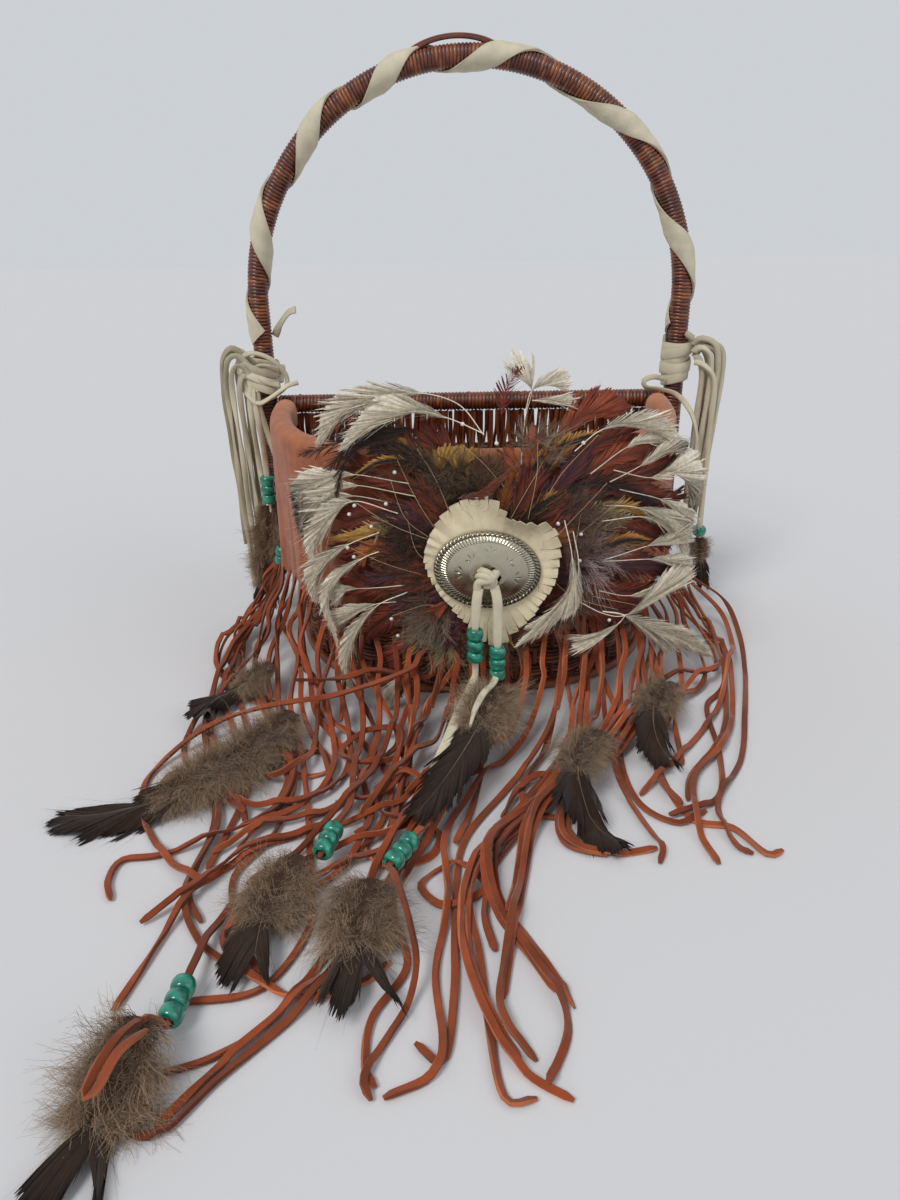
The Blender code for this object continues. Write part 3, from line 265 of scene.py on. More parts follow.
def make_stage():
    floor = bpy.data.meshes.new("floor")
    reach = 3.0
    corners = [(-reach, -reach, 0), (reach, -reach, 0), (reach, reach, 0), (-reach, reach, 0)]
    floor.from_pydata(corners, [], [(0, 1, 2, 3)])
    item = add_object("floor", floor)
    paper = bpy.data.materials.new("pale_floor")
    paper.use_nodes = True
    connect(paper.node_tree, paper.node_tree.nodes["Principled BSDF"], {
        "Base Color": (*rgb(224, 225, 229), 1), "Roughness": 0.9, "Specular IOR Level": 0.2})
    floor.materials.append(paper)
    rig.stage(item)
    world = bpy.data.worlds.new("studio")
    bpy.context.scene.world = world
    world.use_nodes = True
    tree = world.node_tree
    plain = tree.nodes["Background"]
    connect(tree, plain, {"Color": (0.97, 0.985, 1.0, 1), "Strength": 0.42})
    shown = pale_for_camera(tree, plain, rgb(203, 207, 211), 1.0)
    connect(tree, tree.nodes["World Output"], {0: shown.outputs[0]})
    sun("key", (-0.45, -0.62, 1.0), 22, 1.45, (1.0, 0.98, 0.95))
    sun("fill", (0.9, -0.5, 0.6), 40, 0.35, (0.95, 0.97, 1.0))
    bpy.context.scene.view_settings.view_transform = "Standard"


# Finishes

def finish(name, rough, vary, scale, bump, bump_scale, depth, sheen=0.0, coat=0.0, metallic=0.0,
           specular=0.5):
    """A material that takes its colour from the mesh's tint, varied and roughened by noise."""
    mat = bpy.data.materials.new(name)
    mat.use_nodes = True
    tree = mat.node_tree
    tint = add_node(tree, "Attribute")
    tint.attribute_name = "tint"
    place = add_node(tree, "TexCoord").outputs["Object"]
    blotch = add_node(tree, "TexNoise", {"Vector": place, "Scale": scale, "Detail": 5})
    blotch = blotch.outputs["Fac"]
    level = add_node(tree, "MapRange", {"Value": blotch, "From Min": 0.3, "From Max": 0.7,
                                        "To Min": 1 - vary, "To Max": 1 + vary})
    shade = add_node(tree, "VectorMath", {0: tint.outputs["Color"], "Scale": level.outputs[0]},
                     "SCALE")
    worn = add_node(tree, "MapRange", {"Value": blotch, "To Min": max(rough - 0.12, 0.02),
                                       "To Max": min(rough + 0.12, 1.0)})
    grain = add_node(tree, "TexNoise", {"Vector": place, "Scale": bump_scale, "Detail": 4})
    raised = add_node(tree, "Bump",
                      {"Height": grain.outputs["Fac"], "Strength": bump, "Distance": depth})
    connect(tree, tree.nodes["Principled BSDF"], {
        "Base Color": shade.outputs[0], "Roughness": worn.outputs[0], "Normal": raised.outputs[0],
        "Metallic": metallic, "Sheen Weight": sheen, "Coat Weight": coat, "Coat Roughness": 0.15,
        "Specular IOR Level": specular})
    return mat


WICKER = finish("stained_cane", 0.42, 0.28, 160, 0.3, 1400, 0.0002, coat=0.25)
SUEDE = finish("terracotta_suede", 0.92, 0.16, 130, 0.5, 1500, 0.0005, sheen=0.25, specular=0.2)
CREAM = finish("cream_leather", 0.75, 0.08, 160, 0.4, 1100, 0.0004, sheen=0.1, specular=0.35)
FEATHER = finish("feather_barbs", 0.55, 0.18, 500, 0.15, 2500, 0.0002, sheen=0.15, specular=0.35)
DOWN = finish("feather_down", 0.9, 0.2, 300, 0.1, 2500, 0.0002, sheen=0.2, specular=0.2)
GLASS_BEAD = finish("teal_bead", 0.16, 0.28, 420, 0.05, 900, 0.0002, coat=0.6)
CLEAR_BEAD = finish("clear_bead", 0.08, 0.05, 300, 0.0, 900, 0.0002, coat=1.0)
SILVER = finish("aged_silver", 0.24, 0.05, 300, 0.02, 1500, 0.0001, metallic=1.0)

TERRACOTTA = rgb(160, 92, 62)
LACE = rgb(140, 66, 39)
# The lace's paler cut edge, which is also used as a painted highlight on the edge that faces the light.
LACE_CUT_EDGE_AND_HIGHLIGHT = rgb(192, 110, 72)
IVORY = rgb(214, 205, 180)


# Meshes

def piece(name, verts, faces, tints, mat, body="basket", smooth=True, slot=None, nodes=()):
    """A shown mesh with a tint at each point, riding on a body and standing for CAD nodes."""
    mesh = bpy.data.meshes.new(name)
    mesh.from_pydata([tuple(v) for v in verts], [], faces)
    colours = np.ones((len(mesh.vertices), 4), np.float32)
    colours[:, :3] = np.array(tints, np.float32)
    mesh.attributes.new("tint", "FLOAT_COLOR", "POINT").data.foreach_set("color", colours.ravel())
    if smooth:
        mesh.shade_smooth()
        mesh.set_sharp_from_angle(angle=math.radians(50))
    mesh.materials.append(mat)
    item = add_object(name, mesh)
    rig.ride(item, body)
    if slot:
        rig.slot(item, slot)
    if nodes:
        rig.replaces(item, *nodes)
    return item


class Work:
    """Points, faces and tints of a mesh in the making."""

    def __init__(self):
        self.verts, self.faces, self.tints = [], [], []
        self.count = 0

    def add(self, verts, faces, tints):
        start = self.count
        self.verts.append(np.asarray(verts, float).reshape(-1, 3))
        self.count += len(self.verts[-1])
        tints = np.asarray(tints, float)
        self.tints.append(np.broadcast_to(tints, self.verts[-1].shape))
        self.faces += [tuple(start + k for k in f) for f in faces]

    def grid(self, points, tints, closed=False, caps=False):
        """A sheet or tube over rows of points; closed joins each row's ends."""
        points = np.asarray(points, float)
        rows, cols = points.shape[:2]
        span = cols if closed else cols - 1
        faces = [(r * cols + c, r * cols + (c + 1) % cols, (r + 1) * cols + (c + 1) % cols,
                  (r + 1) * cols + c) for r in range(rows - 1) for c in range(span)]
        if caps:
            faces += [tuple(range(cols))[::-1], tuple(range((rows - 1) * cols, rows * cols))]
        tints = np.asarray(tints, float)
        if tints.ndim == 2:
            tints = np.repeat(tints[:, None, :], cols, axis=1)
        if tints.ndim == 3:
            tints = tints.reshape(-1, 3)
        self.add(points.reshape(-1, 3), faces, tints)

    def piece(self, name, mat, **more):
        return piece(name, np.concatenate(self.verts), self.faces, np.concatenate(self.tints), mat,
                     **more)


def lengths(line):
    """How far along a line each of its points is."""
    return np.concatenate([[0], np.cumsum(np.linalg.norm(np.diff(line, axis=0), axis=1))])


def values_at(s, along, values):
    """What the values at a line's points, which are so far along it, are s metres along it."""
    return np.stack([np.interp(s, along, values[:, k]) for k in range(3)], -1)


def path_length(line):
    return float(np.linalg.norm(np.diff(np.asarray(line), axis=0), axis=1).sum())


def in_metres(points):
    return [tuple(c * MM for c in p) for p in points]


def smooth_route(points, step):
    """Evenly spaced points on a Catmull-Rom curve through the given ones."""
    points = np.array([tuple(p) for p in points], float)
    ends = np.concatenate([[2 * points[0] - points[1]], points, [2 * points[-1] - points[-2]]])
    a, b, c, d = (x[:, None, :] for x in (ends[:-3], ends[1:-2], ends[2:-1], ends[3:]))
    t = (np.arange(12) / 12)[None, :, None]
    fine = 0.5 * (2 * b + t * (c - a) + t * t * (2 * a - 5 * b + 4 * c - d)
                  + t ** 3 * (3 * b - a - 3 * c + d))
    fine = np.concatenate([fine.reshape(-1, 3), points[-1:]])
    along = lengths(fine)
    return values_at(np.linspace(0, along[-1], max(2, round(along[-1] / step) + 1)), along, fine)


def unit(v):
    v = np.asarray(v, float)
    return v / np.maximum(np.linalg.norm(v, axis=-1, keepdims=True), 1e-12)


def tangents(line):
    return unit(np.gradient(line, axis=0))


def square_to(ways, v):
    """The directions nearest to v that stand square to the ways."""
    return unit(v - ways * (v * ways).sum(axis=-1, keepdims=True))


def carried(line, first):
    """A normal at each point of a line, carried along it without twist."""
    ways = tangents(line)
    normals = [unit(first - ways[0] * np.dot(first, ways[0]))]
    for way in ways[1:]:
        n = normals[-1] - way * np.dot(normals[-1], way)
        normals.append(unit(n))
    return np.array(normals)


def tube(work, line, radius, tint, sides=8, first=(0, 0, 1)):
    """A round cord along a line; radius may be one number or one for each point."""
    line = np.asarray(line, float)
    ways = tangents(line)
    first = np.asarray(first, float)
    if abs(np.dot(first, ways[0])) > 0.9:
        first = np.array((0.0, 1.0, 0.0))
    normals = carried(line, first)
    angle = 2 * math.pi * np.arange(sides) / sides
    radius = np.broadcast_to(radius, len(line))[:, None, None]
    cos, sin = np.cos(angle)[None, :, None], np.sin(angle)[None, :, None]
    ring = normals[:, None] * cos + np.cross(ways, normals)[:, None] * sin
    work.grid(line[:, None] + ring * radius, tint, closed=True, caps=True)


# The bow's plan line

def bow_point(t):
    angle = math.pi * t
    c, s = math.cos(angle), max(math.sin(angle), 0.0)
    x = -math.copysign(HALF_WIDTH * abs(c) ** (2 / BOW_POWER), c)
    return x, BACK_Y - BOW_DEPTH * s ** (2 / BOW_POWER), 0.0


BOW_LINE = np.array([bow_point(k / 1200) for k in range(1201)])
BOW_ALONG = lengths(BOW_LINE)
BOW_HALF = float(BOW_ALONG[-1] / 2)


def bow_at(u, z, lift):
    """Points u metres right of the bow's middle, at heights and lifts off the line."""
    u = np.asarray(u, float)

    def plan(w):
        return values_at(w + BOW_HALF, BOW_ALONG, BOW_LINE)

    mid = np.clip(u, -BOW_HALF + 0.001, BOW_HALF - 0.001)
    way = unit(plan(mid + 0.001) - plan(mid - 0.001))
    outward = np.stack([way[..., 1], -way[..., 0], np.zeros_like(way[..., 0])], -1)
    point = plan(u) + outward * np.asarray(lift, float)[..., None]
    point[..., 2] = z
    return point, outward


def cane_tint(rng, dark=0.0):
    """Stained cane: mostly mahogany, here and there worn to orange."""
    shade = mix(rgb(96, 42, 26), rgb(150, 78, 44), rng.random() ** 1.6)
    if rng.random() < 0.16:
        shade = mix(shade, rgb(190, 112, 62), 0.6)
    return mix(shade, rgb(48, 20, 14), dark)


def wrapped(work, centre, radius, length, pitch, sides, rng, groove=0.0006):
    """Cane wound close round a rod; centre(s) gives its middle and two directions across."""
    rows = int(length / pitch) * 3
    points, tints = [], []
    shades = [cane_tint(rng, 0.25 * rng.random()) * 0.88 for _ in range(rows // 3 + 4)]
    for k in range(rows + 4):
        row, row_tints = [], []
        for j in range(sides):
            s = min(max(pitch * (k / 3 + j / sides), 0.0), length)
            middle, a, b = centre(s)
            reach = radius - (groove if k % 3 == 0 else 0.0)
            angle = 2 * math.pi * j / sides
            row.append(middle + (a * math.cos(angle) + b * math.sin(angle)) * reach)
            # Painted shade: the row in each groove between two wraps is darkened to 0.38 of the cane's colour.
            row_tints.append(shades[k // 3] * (0.38 if k % 3 == 0 else 1.0))
        points.append(row)
        tints.append(row_tints)
    faces = []
    for k in range(rows):
        for j in range(sides):
            b = k * sides + j + 1 if j + 1 < sides else (k + 3) * sides
            faces.append((k * sides + j, b, b + sides, (k + 1) * sides + j))
    work.add(points, faces, np.array(tints).reshape(-1, 3))


HOOP_LEG = HOOP_SPRING_Z - HOOP_FOOT_Z
HOOP_LENGTH = math.pi * HOOP_R + 2 * HOOP_LEG


def hoop_at(s):
    """The hoop's middle, front and outward directions, s metres up from its left foot."""
    front = np.array((0.0, -1.0, 0.0))
    if s <= HOOP_LEG:
        return np.array((-HOOP_R, BACK_Y, HOOP_FOOT_Z + s)), front, np.array((-1.0, 0, 0))
    angle = (s - HOOP_LEG) / HOOP_R
    if angle < math.pi:
        out = np.array((-math.cos(angle), 0, math.sin(angle)))
        return np.array((0, BACK_Y, HOOP_SPRING_Z)) + out * HOOP_R, front, out
    down = s - HOOP_LEG - math.pi * HOOP_R
    return np.array((HOOP_R, BACK_Y, HOOP_SPRING_Z - down)), front, np.array((1.0, 0, 0))


def make_hoop():
    rng = random.Random(3)
    work = Work()
    wrapped(work, hoop_at, HOOP_TUBE_R, HOOP_LENGTH, 0.0021, 12, rng)
    for s in (0.0, HOOP_LENGTH):
        middle = hoop_at(s)[0]
        tube(work, [middle + (0, 0, -0.0006), middle + (0, 0, 0.004)], 0.0052,
             cane_tint(rng, 0.4), 12)
    work.piece("hoop_wrapping", WICKER, slot="wicker", nodes=["handle_hoop"])


def make_cane_loop():
    middle = math.radians(86)
    rng = random.Random(9)
    work = Work()
    for strand, (shift, lift) in enumerate(((0.0, 0.0), (0.0016, -0.0008), (-0.0014, -0.0012))):
        line = []
        for k in range(25):
            f = 2 * k / 24 - 1
            angle = middle + f * math.radians(10.5 - strand)
            rise = HOOP_TUBE_R - 0.0004 + (0.0044 + lift) * (1 - f * f) ** 0.8
            out = np.array((-math.cos(angle), 0, math.sin(angle)))
            spring = np.array((0, BACK_Y, HOOP_SPRING_Z))
            line.append(spring + out * (HOOP_R + rise) + (0, shift, 0))
        tube(work, line, 0.0010, cane_tint(rng), 6)
    work.piece("loose_cane_end", WICKER, slot="wicker", nodes=["top_cane_loop"])


def woven_rows(work, at, first, last, bands, rng, radius):
    """Bands of thin cane that pass before and behind the posts by turns.

    at(s, z, off) gives points s of the way along the wall.
    """
    rows = BAND_CANES * bands
    s = np.linspace(0, 1, POSTS * 4 + 1)
    for r in range(rows):
        z = first + (last - first) * (r + 0.5) / rows
        phase = math.pi * (s * POSTS + r // BAND_CANES + 1)
        reach = WEAVE_SWING * np.cos(phase) * rng.uniform(0.92, 1.05)
        wave = WEAVE_SLACK * np.array([rng.gauss(0, 1) for _ in s])
        line = at(s, z + wave, reach)
        colour = cane_tint(rng, 0.15 + 0.3 * rng.random())
        # Painted shade: each cane is darkened to 0.58 where it crosses over between two posts, and keeps its colour
        # where it passes before or behind one.
        shade = 0.58 + 0.42 * np.abs(np.cos(phase))
        tube(work, line, radius * rng.uniform(0.94, 1.04), colour * shade[:, None], 6)


def make_back_wall():
    """A woven panel; over it the posts run on to the rim with loose canes between them."""
    rng = random.Random(5)
    work = Work()
    half = BACK_WALL_HALF - POST_R
    for k in range(POSTS + 1):
        x = half * (2 * k / POSTS - 1)
        line = [(x, BACK_WALL_Y, z) for z in (WEAVE_LOW, WEAVE_TOP, 0.1385)]
        tube(work, line, POST_R, cane_tint(rng, 0.2), 8)
        for side in (-1.8, -1.2, -0.6, 0, 0.6, 1.2, 1.8):
            if rng.random() < 0.9:
                lean = rng.uniform(-0.0020, 0.0030)
                y = BACK_WALL_Y - rng.uniform(0.0012, 0.0034)
                line = [(x + side * 0.0008, y + 0.0006, WEAVE_TOP - 0.004),
                        (x + side * 0.0014 + lean * 0.5, y, 0.127),
                        (x + side * 0.0014 + lean, y, 0.1392)]
                tube(work, smooth_route(line, 0.004), rng.uniform(0.0007, 0.0012),
                     cane_tint(rng, 0.2 + 0.4 * rng.random()), 6)

    def at(s, z, off):
        return np.stack([half * (2 * s - 1), BACK_WALL_Y - off, z], -1)

    woven_rows(work, at, WEAVE_LOW, WEAVE_TOP, BACK_BANDS, rng, 0.00128)
    work.piece("back_wall_weave", WICKER, slot="wicker", nodes=["back_wall"])


def make_front_wall():
    """The bowed woven wall, which leans in towards the base."""
    rng = random.Random(6)
    work = Work()
    top = RIM_Z - RIM_R - 0.0005
    reach = BOW_HALF - 0.008

    def inset(z):
        return TAPER * (top - z) / (top - WEAVE_LOW)

    def at(s, z, off):
        return bow_at(reach * (2 * s - 1), z, off - inset(z))[0]

    for k in range(POSTS + 1):
        u = reach * (2 * k / POSTS - 1)
        z = np.array((WEAVE_LOW, 0.07, top))
        tube(work, bow_at(np.full(3, u), z, -inset(z))[0], POST_R, cane_tint(rng, 0.2), 6)
    woven_rows(work, at, WEAVE_LOW, top, FRONT_BANDS, rng, 0.00130)
    work.piece("front_wall_weave", WICKER, slot="wicker", nodes=["front_wall"])


def make_base():
    """A woven base: canes across, over and under ribs that run from back to front."""
    rng = random.Random(7)
    work = Work()
    level, edge_r, rib_pitch, row_pitch = 0.003, 0.0027, 0.0115, 0.0027
    back_y, back_half, front = 0.0562, 0.1105, 40
    outline = bow_at(np.linspace(-BOW_HALF + 0.004, BOW_HALF - 0.004, 2 * front + 1), level,
                     WALL / 2 - TAPER)[0]
    tube(work, outline, edge_r, cane_tint(rng, 0.3), 8)
    tube(work, [(-back_half, back_y, level), (back_half, back_y, level)], edge_r,
         cane_tint(rng, 0.3), 8)
    for k in range(-9, 10):
        x = k * rib_pitch
        low = np.interp(x, outline[:, 0], outline[:, 1]) + 0.002
        tube(work, [(x, low, level), (x, 0.055, level)], POST_R, cane_tint(rng, 0.2), 6)
    left = outline[:front + 1]
    for r in range(46):
        y = 0.0535 - row_pitch * r
        if y < outline[front, 1] + 0.003:
            break
        half = -(np.interp(-y, -left[:, 1], left[:, 0]) + 0.002)
        steps = math.floor(half / (rib_pitch / 3))
        if steps < 1:
            continue
        s = np.arange(-steps, steps + 1) * rib_pitch / 3
        z = level + 0.0015 * np.cos(math.pi * (s / rib_pitch + r))
        tube(work, np.stack([s, np.full_like(s, y), z], 1), 0.00115, cane_tint(rng, 0.3), 6)
    work.piece("woven_base", WICKER, slot="wicker", nodes=["base_board"])


def make_rims():
    """Cane wound round both rims; cut ends of it stand out of the back one."""
    rng = random.Random(8)
    work = Work()
    up = np.array((0, 0, 1.0))
    pitch = 0.0023

    def along_back(s):
        return np.array((-BACK_RIM_HALF + s, BACK_WALL_Y, BACK_RIM_Z)), np.array((0.0, -1.0, 0)), up

    wrapped(work, along_back, BACK_RIM_R, 2 * BACK_RIM_HALF, pitch, 12, rng)
    for x in (-BACK_RIM_HALF, BACK_RIM_HALF):
        ends = [(x * 1.0004, BACK_WALL_Y, BACK_RIM_Z), (x * 0.97, BACK_WALL_Y, BACK_RIM_Z)]
        tube(work, ends, 0.0050, cane_tint(rng, 0.4), 12)
    for _ in range(26):
        x = BACK_RIM_HALF * (2 * rng.random() - 1) * 0.96
        a = rng.uniform(0.3, 2.6)
        spot = np.array((x, BACK_WALL_Y - 0.0054 * math.cos(a), BACK_RIM_Z + 0.0054 * math.sin(a)))
        out = np.array((0, -math.cos(a), math.sin(a)))
        tube(work, [spot, spot + out * 0.0006 + (rng.uniform(-0.001, 0.001), 0, 0)], 0.0009,
             cane_tint(rng), 6)
    work.piece("back_rim_wrapping", WICKER, slot="wicker", nodes=["back_rim"])
    work = Work()
    reach = BOW_HALF - FRONT_RIM_END
    line = bow_at(np.linspace(-reach, reach, 121), RIM_Z, 0)[0]
    along = lengths(line)

    def along_front(s):
        way = unit(values_at(s + 0.001, along, line) - values_at(s - 0.001, along, line))
        return values_at(s, along, line), np.cross(way, up), up

    wrapped(work, along_front, RIM_R, float(along[-1]), pitch, 10, rng)
    work.piece("front_rim_wrapping", WICKER, slot="wicker", nodes=["front_rim"])


# Suede: the apron over the front rim, and the laces cut from its hem

def fold(u, z):
    """How far the apron's folds stand out; they grow from the rim down to the hem."""
    hang = np.clip((RIM_Z - z) / (RIM_Z - HEM_Z), 0.0, 1.0)
    deep = np.sin(2 * math.pi * FOLDS * u / (2 * BOW_HALF))
    small = 0.35 * np.sin(2 * math.pi * 27 * u / (2 * BOW_HALF) + 1.3) * hang
    small = small + 0.20 * np.sin(u * 730 + 2.2 * np.sin(z * 55)) * np.clip(3 * hang, 0, 1)
    return FOLD_DEPTH * hang * (deep + small)


def suede_tint(u, z):
    """Terracotta, paler where the rim wears it and in long streaks down the folds, with painted shade in narrow
    creases, and darker towards the hem.
    """
    streaks_and_crease_shade = 0.06 * np.sin(u * 410 + 3 * np.sin(z * 60)) + 0.05 * np.sin(u * 973 + z * 45)
    # Painted shade: narrow dark lines where the creases fall.
    streaks_and_crease_shade = streaks_and_crease_shade - 0.12 * np.clip(np.sin(u * 300 + 2.5 * np.sin(z * 38 + u * 20)), 0, 1) ** 12
    plain = TERRACOTTA * (1 + streaks_and_crease_shade)[:, None]
    corner = np.exp(-((np.abs(u) - 0.196) / 0.012) ** 2) * np.exp(-((z - 0.144) / 0.008) ** 2)
    rim = 0.22 * np.exp(-((z - 0.149) / 0.004) ** 2)
    low = np.clip((0.085 - z) / 0.03, 0, 1) * 0.16
    amount = np.clip(0.75 * corner + rim, 0, 0.8)[:, None]
    return (plain + (rgb(214, 146, 104) - plain) * amount) * (1 - low)[:, None]


def make_apron():
    """One sheet: up inside the wall, over the rim and down to the hem, folded as it hangs."""
    bend = [(math.pi, 0.134 + 0.009 * k / 3) for k in range(3)]
    bend += [(a * math.pi / 8, RIM_Z) for a in range(8, -1, -1)]
    drop = HEM_Z - 0.0050
    bend += [(0, RIM_Z + (drop - RIM_Z) * k / 16) for k in range(1, 17)]
    stations = np.linspace(-BOW_HALF + APRON_END, BOW_HALF - APRON_END, 241)
    sides = []
    for reach in (APRON_LIFT + APRON_THICK, APRON_LIFT):
        rows = []
        for angle, z in bend:
            lift = reach * math.cos(angle) + (fold(stations, z) if angle == 0 else 0.0)
            lift = np.broadcast_to(lift, stations.shape)
            rows.append(bow_at(stations, z + reach * math.sin(angle), lift)[0])
        sides.append(rows)
    loop = np.array(sides[0] + sides[1][::-1])
    tints = np.array([suede_tint(stations, row[:, 2]) for row in loop])
    # Painted shade: the sheet's inner face, against the rim and the wall, is darkened to 0.9.
    tints[len(bend):] *= 0.9
    work = Work()
    work.grid(loop.transpose(1, 0, 2), tints.transpose(1, 0, 2), closed=True, caps=True)
    return work.piece("suede_sheet", SUEDE, slot="suede", nodes=["suede_apron"])


def hem_point(u):
    """Where a lace leaves the hem, and the way out from the wall there."""
    lift = APRON_LIFT + APRON_THICK / 2 + fold(np.array([u]), HEM_Z)
    point, outward = bow_at(np.array([u]), HEM_Z - 0.0030, lift)
    return point[0], outward[0]


# Each lace: its place along the hem, then its route over the floor, in millimetres. A
# third number is a height that the suede's stiffness holds it at.
LEFT_LACES = {
    -190: [(-143, 24, 24), (-152, 2, 9), (-149, -35), (-142, -77), (-131, -112), (-119, -150),
           (-121, -190), (-126, -226)],
    -178: [(-139, 10, 26), (-163, -8, 8), (-164, -40), (-146, -66), (-124, -82), (-108, -104),
           (-100, -140), (-99, -176), (-112, -203)],
    -166: [(-140, -4, 20), (-153, -26, 7), (-158, -70), (-152, -120), (-139, -160), (-128, -196),
           (-132, -240), (-120, -267), (-104, -281)],
    -154: [(-137, -22, 20), (-137, -50, 6), (-126, -88), (-108, -128), (-96, -166), (-101, -205),
           (-113, -232), (-104, -262), (-92, -286)],
    -142: [(-131, -36, 20), (-146, -58, 7), (-156, -92), (-162, -124), (-152, -154), (-134, -172),
           (-116, -190)],
    -130: [(-122, -52, 22), (-118, -80, 8), (-112, -118), (-107, -142), (-97, -160), (-102, -188),
           (-117, -198)],
}
FRONT_LEFT_LACES = {
    -112: [(-106, -72, 24), (-108, -98, 8), (-96, -140), (-86, -190), (-79, -234), (-76, -262),
           (-90, -292), (-119, -298)],
    -101: [(-98, -84, 22), (-92, -108, 8), (-72, -140), (-58, -180), (-62, -222), (-84, -246),
           (-110, -262), (-98, -284), (-76, -296), (-52, -290), (-42, -280)],
    -90: [(-91, -92, 22), (-84, -112, 8), (-78, -158), (-97, -190), (-123, -204), (-150, -216),
          (-166, -219), (-168, -232), (-163, -244)],
    -79: [(-80, -97, 24), (-74, -116, 8), (-70, -150), (-82, -176), (-106, -186), (-128, -176),
          (-140, -150)],
    -68: [(-68, -102, 24), (-64, -126, 8), (-66, -160), (-65, -190), (-69, -209)],
    -57: [(-57, -103, 24), (-56, -124, 7), (-62, -168), (-74, -197), (-100, -210), (-123, -232),
          (-133, -258), (-139, -284), (-143, -301)],
    -46: [(-46, -104, 24), (-48, -126, 7), (-60, -172), (-80, -208), (-102, -236), (-114, -262),
          (-117, -290)],
    -35: [(-35, -105, 26), (-37, -128, 8), (-43, -181), (-47, -212), (-68, -229), (-93, -244),
          (-109, -264)],
}
FRONT_LACES = {
    -24: [(-40, -107, 34), (-76, -117, 26), (-118, -116, 18), (-150, -124, 10), (-171, -150),
          (-170, -178), (-158, -202), (-142, -223), (-124, -238)],
    -14: [(-15, -105, 24), (-19, -128, 7), (-36, -180), (-77, -201), (-111, -216), (-126, -240),
          (-146, -258)],
    -4: [(-5, -105, 24), (-10, -128, 7), (-30, -176), (-50, -226), (-64, -268), (-82, -304),
         (-101, -321), (-120, -328)],
    6: [(5, -105, 24), (-4, -128, 7), (-20, -176), (-40, -230), (-55, -272), (-72, -300),
        (-98, -330), (-112, -349), (-124, -348)],
    16: [(15, -105, 24), (6, -130, 7), (-16, -178), (-38, -218), (-42, -254), (-35, -282),
         (-47, -306), (-48, -326), (-44, -334)],
    26: [(25, -105, 24), (14, -132, 7), (-12, -172), (-24, -204), (-33, -222)],
    36: [(35, -104, 24), (22, -134, 7), (-4, -170), (-20, -206), (-19, -248), (-24, -286),
         (-22, -325), (-41, -338)],
}
FRONT_RIGHT_LACES = {
    47: [(46, -104, 24), (34, -136, 7), (8, -176), (-12, -212), (-16, -254), (-17, -296),
         (-21, -324), (-31, -317)],
    58: [(57, -104, 24), (52, -128, 7), (42, -176), (34, -202), (40, -216), (55, -221), (76, -217)],
    69: [(68, -102, 24), (58, -130, 7), (26, -176), (2, -212), (-10, -244), (-7, -276), (-5, -306),
         (-1, -338), (10, -339)],
    80: [(79, -98, 26), (70, -124, 9), (40, -168), (14, -200), (-6, -226), (-14, -264), (-7, -303),
         (6, -328), (22, -340)],
    91: [(90, -92, 28), (84, -116, 12), (56, -156), (26, -188), (2, -216), (0, -248), (13, -277),
         (24, -308), (14, -335)],
    101: [(99, -84, 28), (94, -112, 12), (66, -150), (38, -180), (21, -202), (12, -240), (4, -276),
          (0, -306), (11, -325)],
    111: [(107, -75, 26), (102, -104, 8), (80, -132), (66, -158), (72, -192), (78, -216),
          (75, -227)],
}
RIGHT_LACES = {
    128: [(121, -55, 24), (118, -84, 8), (102, -118), (90, -156), (96, -196), (114, -204),
          (124, -222), (132, -220)],
    139: [(129, -42, 26), (136, -70, 8), (118, -92), (98, -108), (91, -138), (88, -168),
          (94, -188)],
    150: [(136, -28, 26), (148, -46, 7), (139, -70), (110, -80), (84, -104), (72, -146), (74, -184),
          (90, -200), (105, -191)],
    161: [(141, -12, 26), (152, -30, 7), (146, -76), (130, -98), (124, -146), (113, -182),
          (86, -196)],
    172: [(143, 2, 28), (155, -20, 7), (152, -62), (143, -104), (128, -138), (106, -166),
          (98, -204), (101, -228)],
    183: [(146, 14, 30), (164, 0, 14), (163, -34, 5), (150, -66), (138, -96), (120, -124),
          (92, -160), (76, -178)],
    193: [(148, 24, 30), (170, 16, 16), (173, -14, 5), (164, -58), (150, -104), (134, -150),
          (112, -186), (112, -214), (118, -222)],
}
GROUPS = [("left", LEFT_LACES), ("right", RIGHT_LACES), ("front_left", FRONT_LEFT_LACES),
          ("front_right", FRONT_RIGHT_LACES), ("front", FRONT_LACES)]
BEADED_ENDS = {-68: "centre_left", 26: "centre", -46: "lower_left"}
LEFT_BEAD_LACE = -178
# Traced laces that lie in a bunch: their neighbours stay right beside them.
SWEPT = (58, 80, 91, 101, 172, 6)
FLOOR_LIFT = 0.0017
# What is left of two beaded laces beyond their beads: it lies over the feather.
LACE_ENDS = [
    (-46, "front_left", [(-122, -320, 20), (-127, -331, 25), (-131, -342, 24), (-133, -349, 20),
                         (-129, -348, 22), (-125, -338, 26), (-119, -328, 24)]),
    (26, "front", [(-41, -250, 19), (-37, -264, 20), (-33, -279, 17), (-31, -290, 11),
                   (-34, -302, 4), (-40, -313, 2), (-46, -325, 2), (-48, -333, 2), (-45, -339, 2)]),
]
# The corners of a lace's section, as shares of half its width and half its thickness.
LACE_SECTION = [(-0.99, 0.7), (-0.93, 1), (-0.8, 1.04), (0.8, 1.04), (0.93, 1), (0.99, 0.7),
                (0.99, -0.7), (0.93, -1), (0.8, -1.04), (-0.8, -1.04), (-0.93, -1), (-0.99, -0.7)]


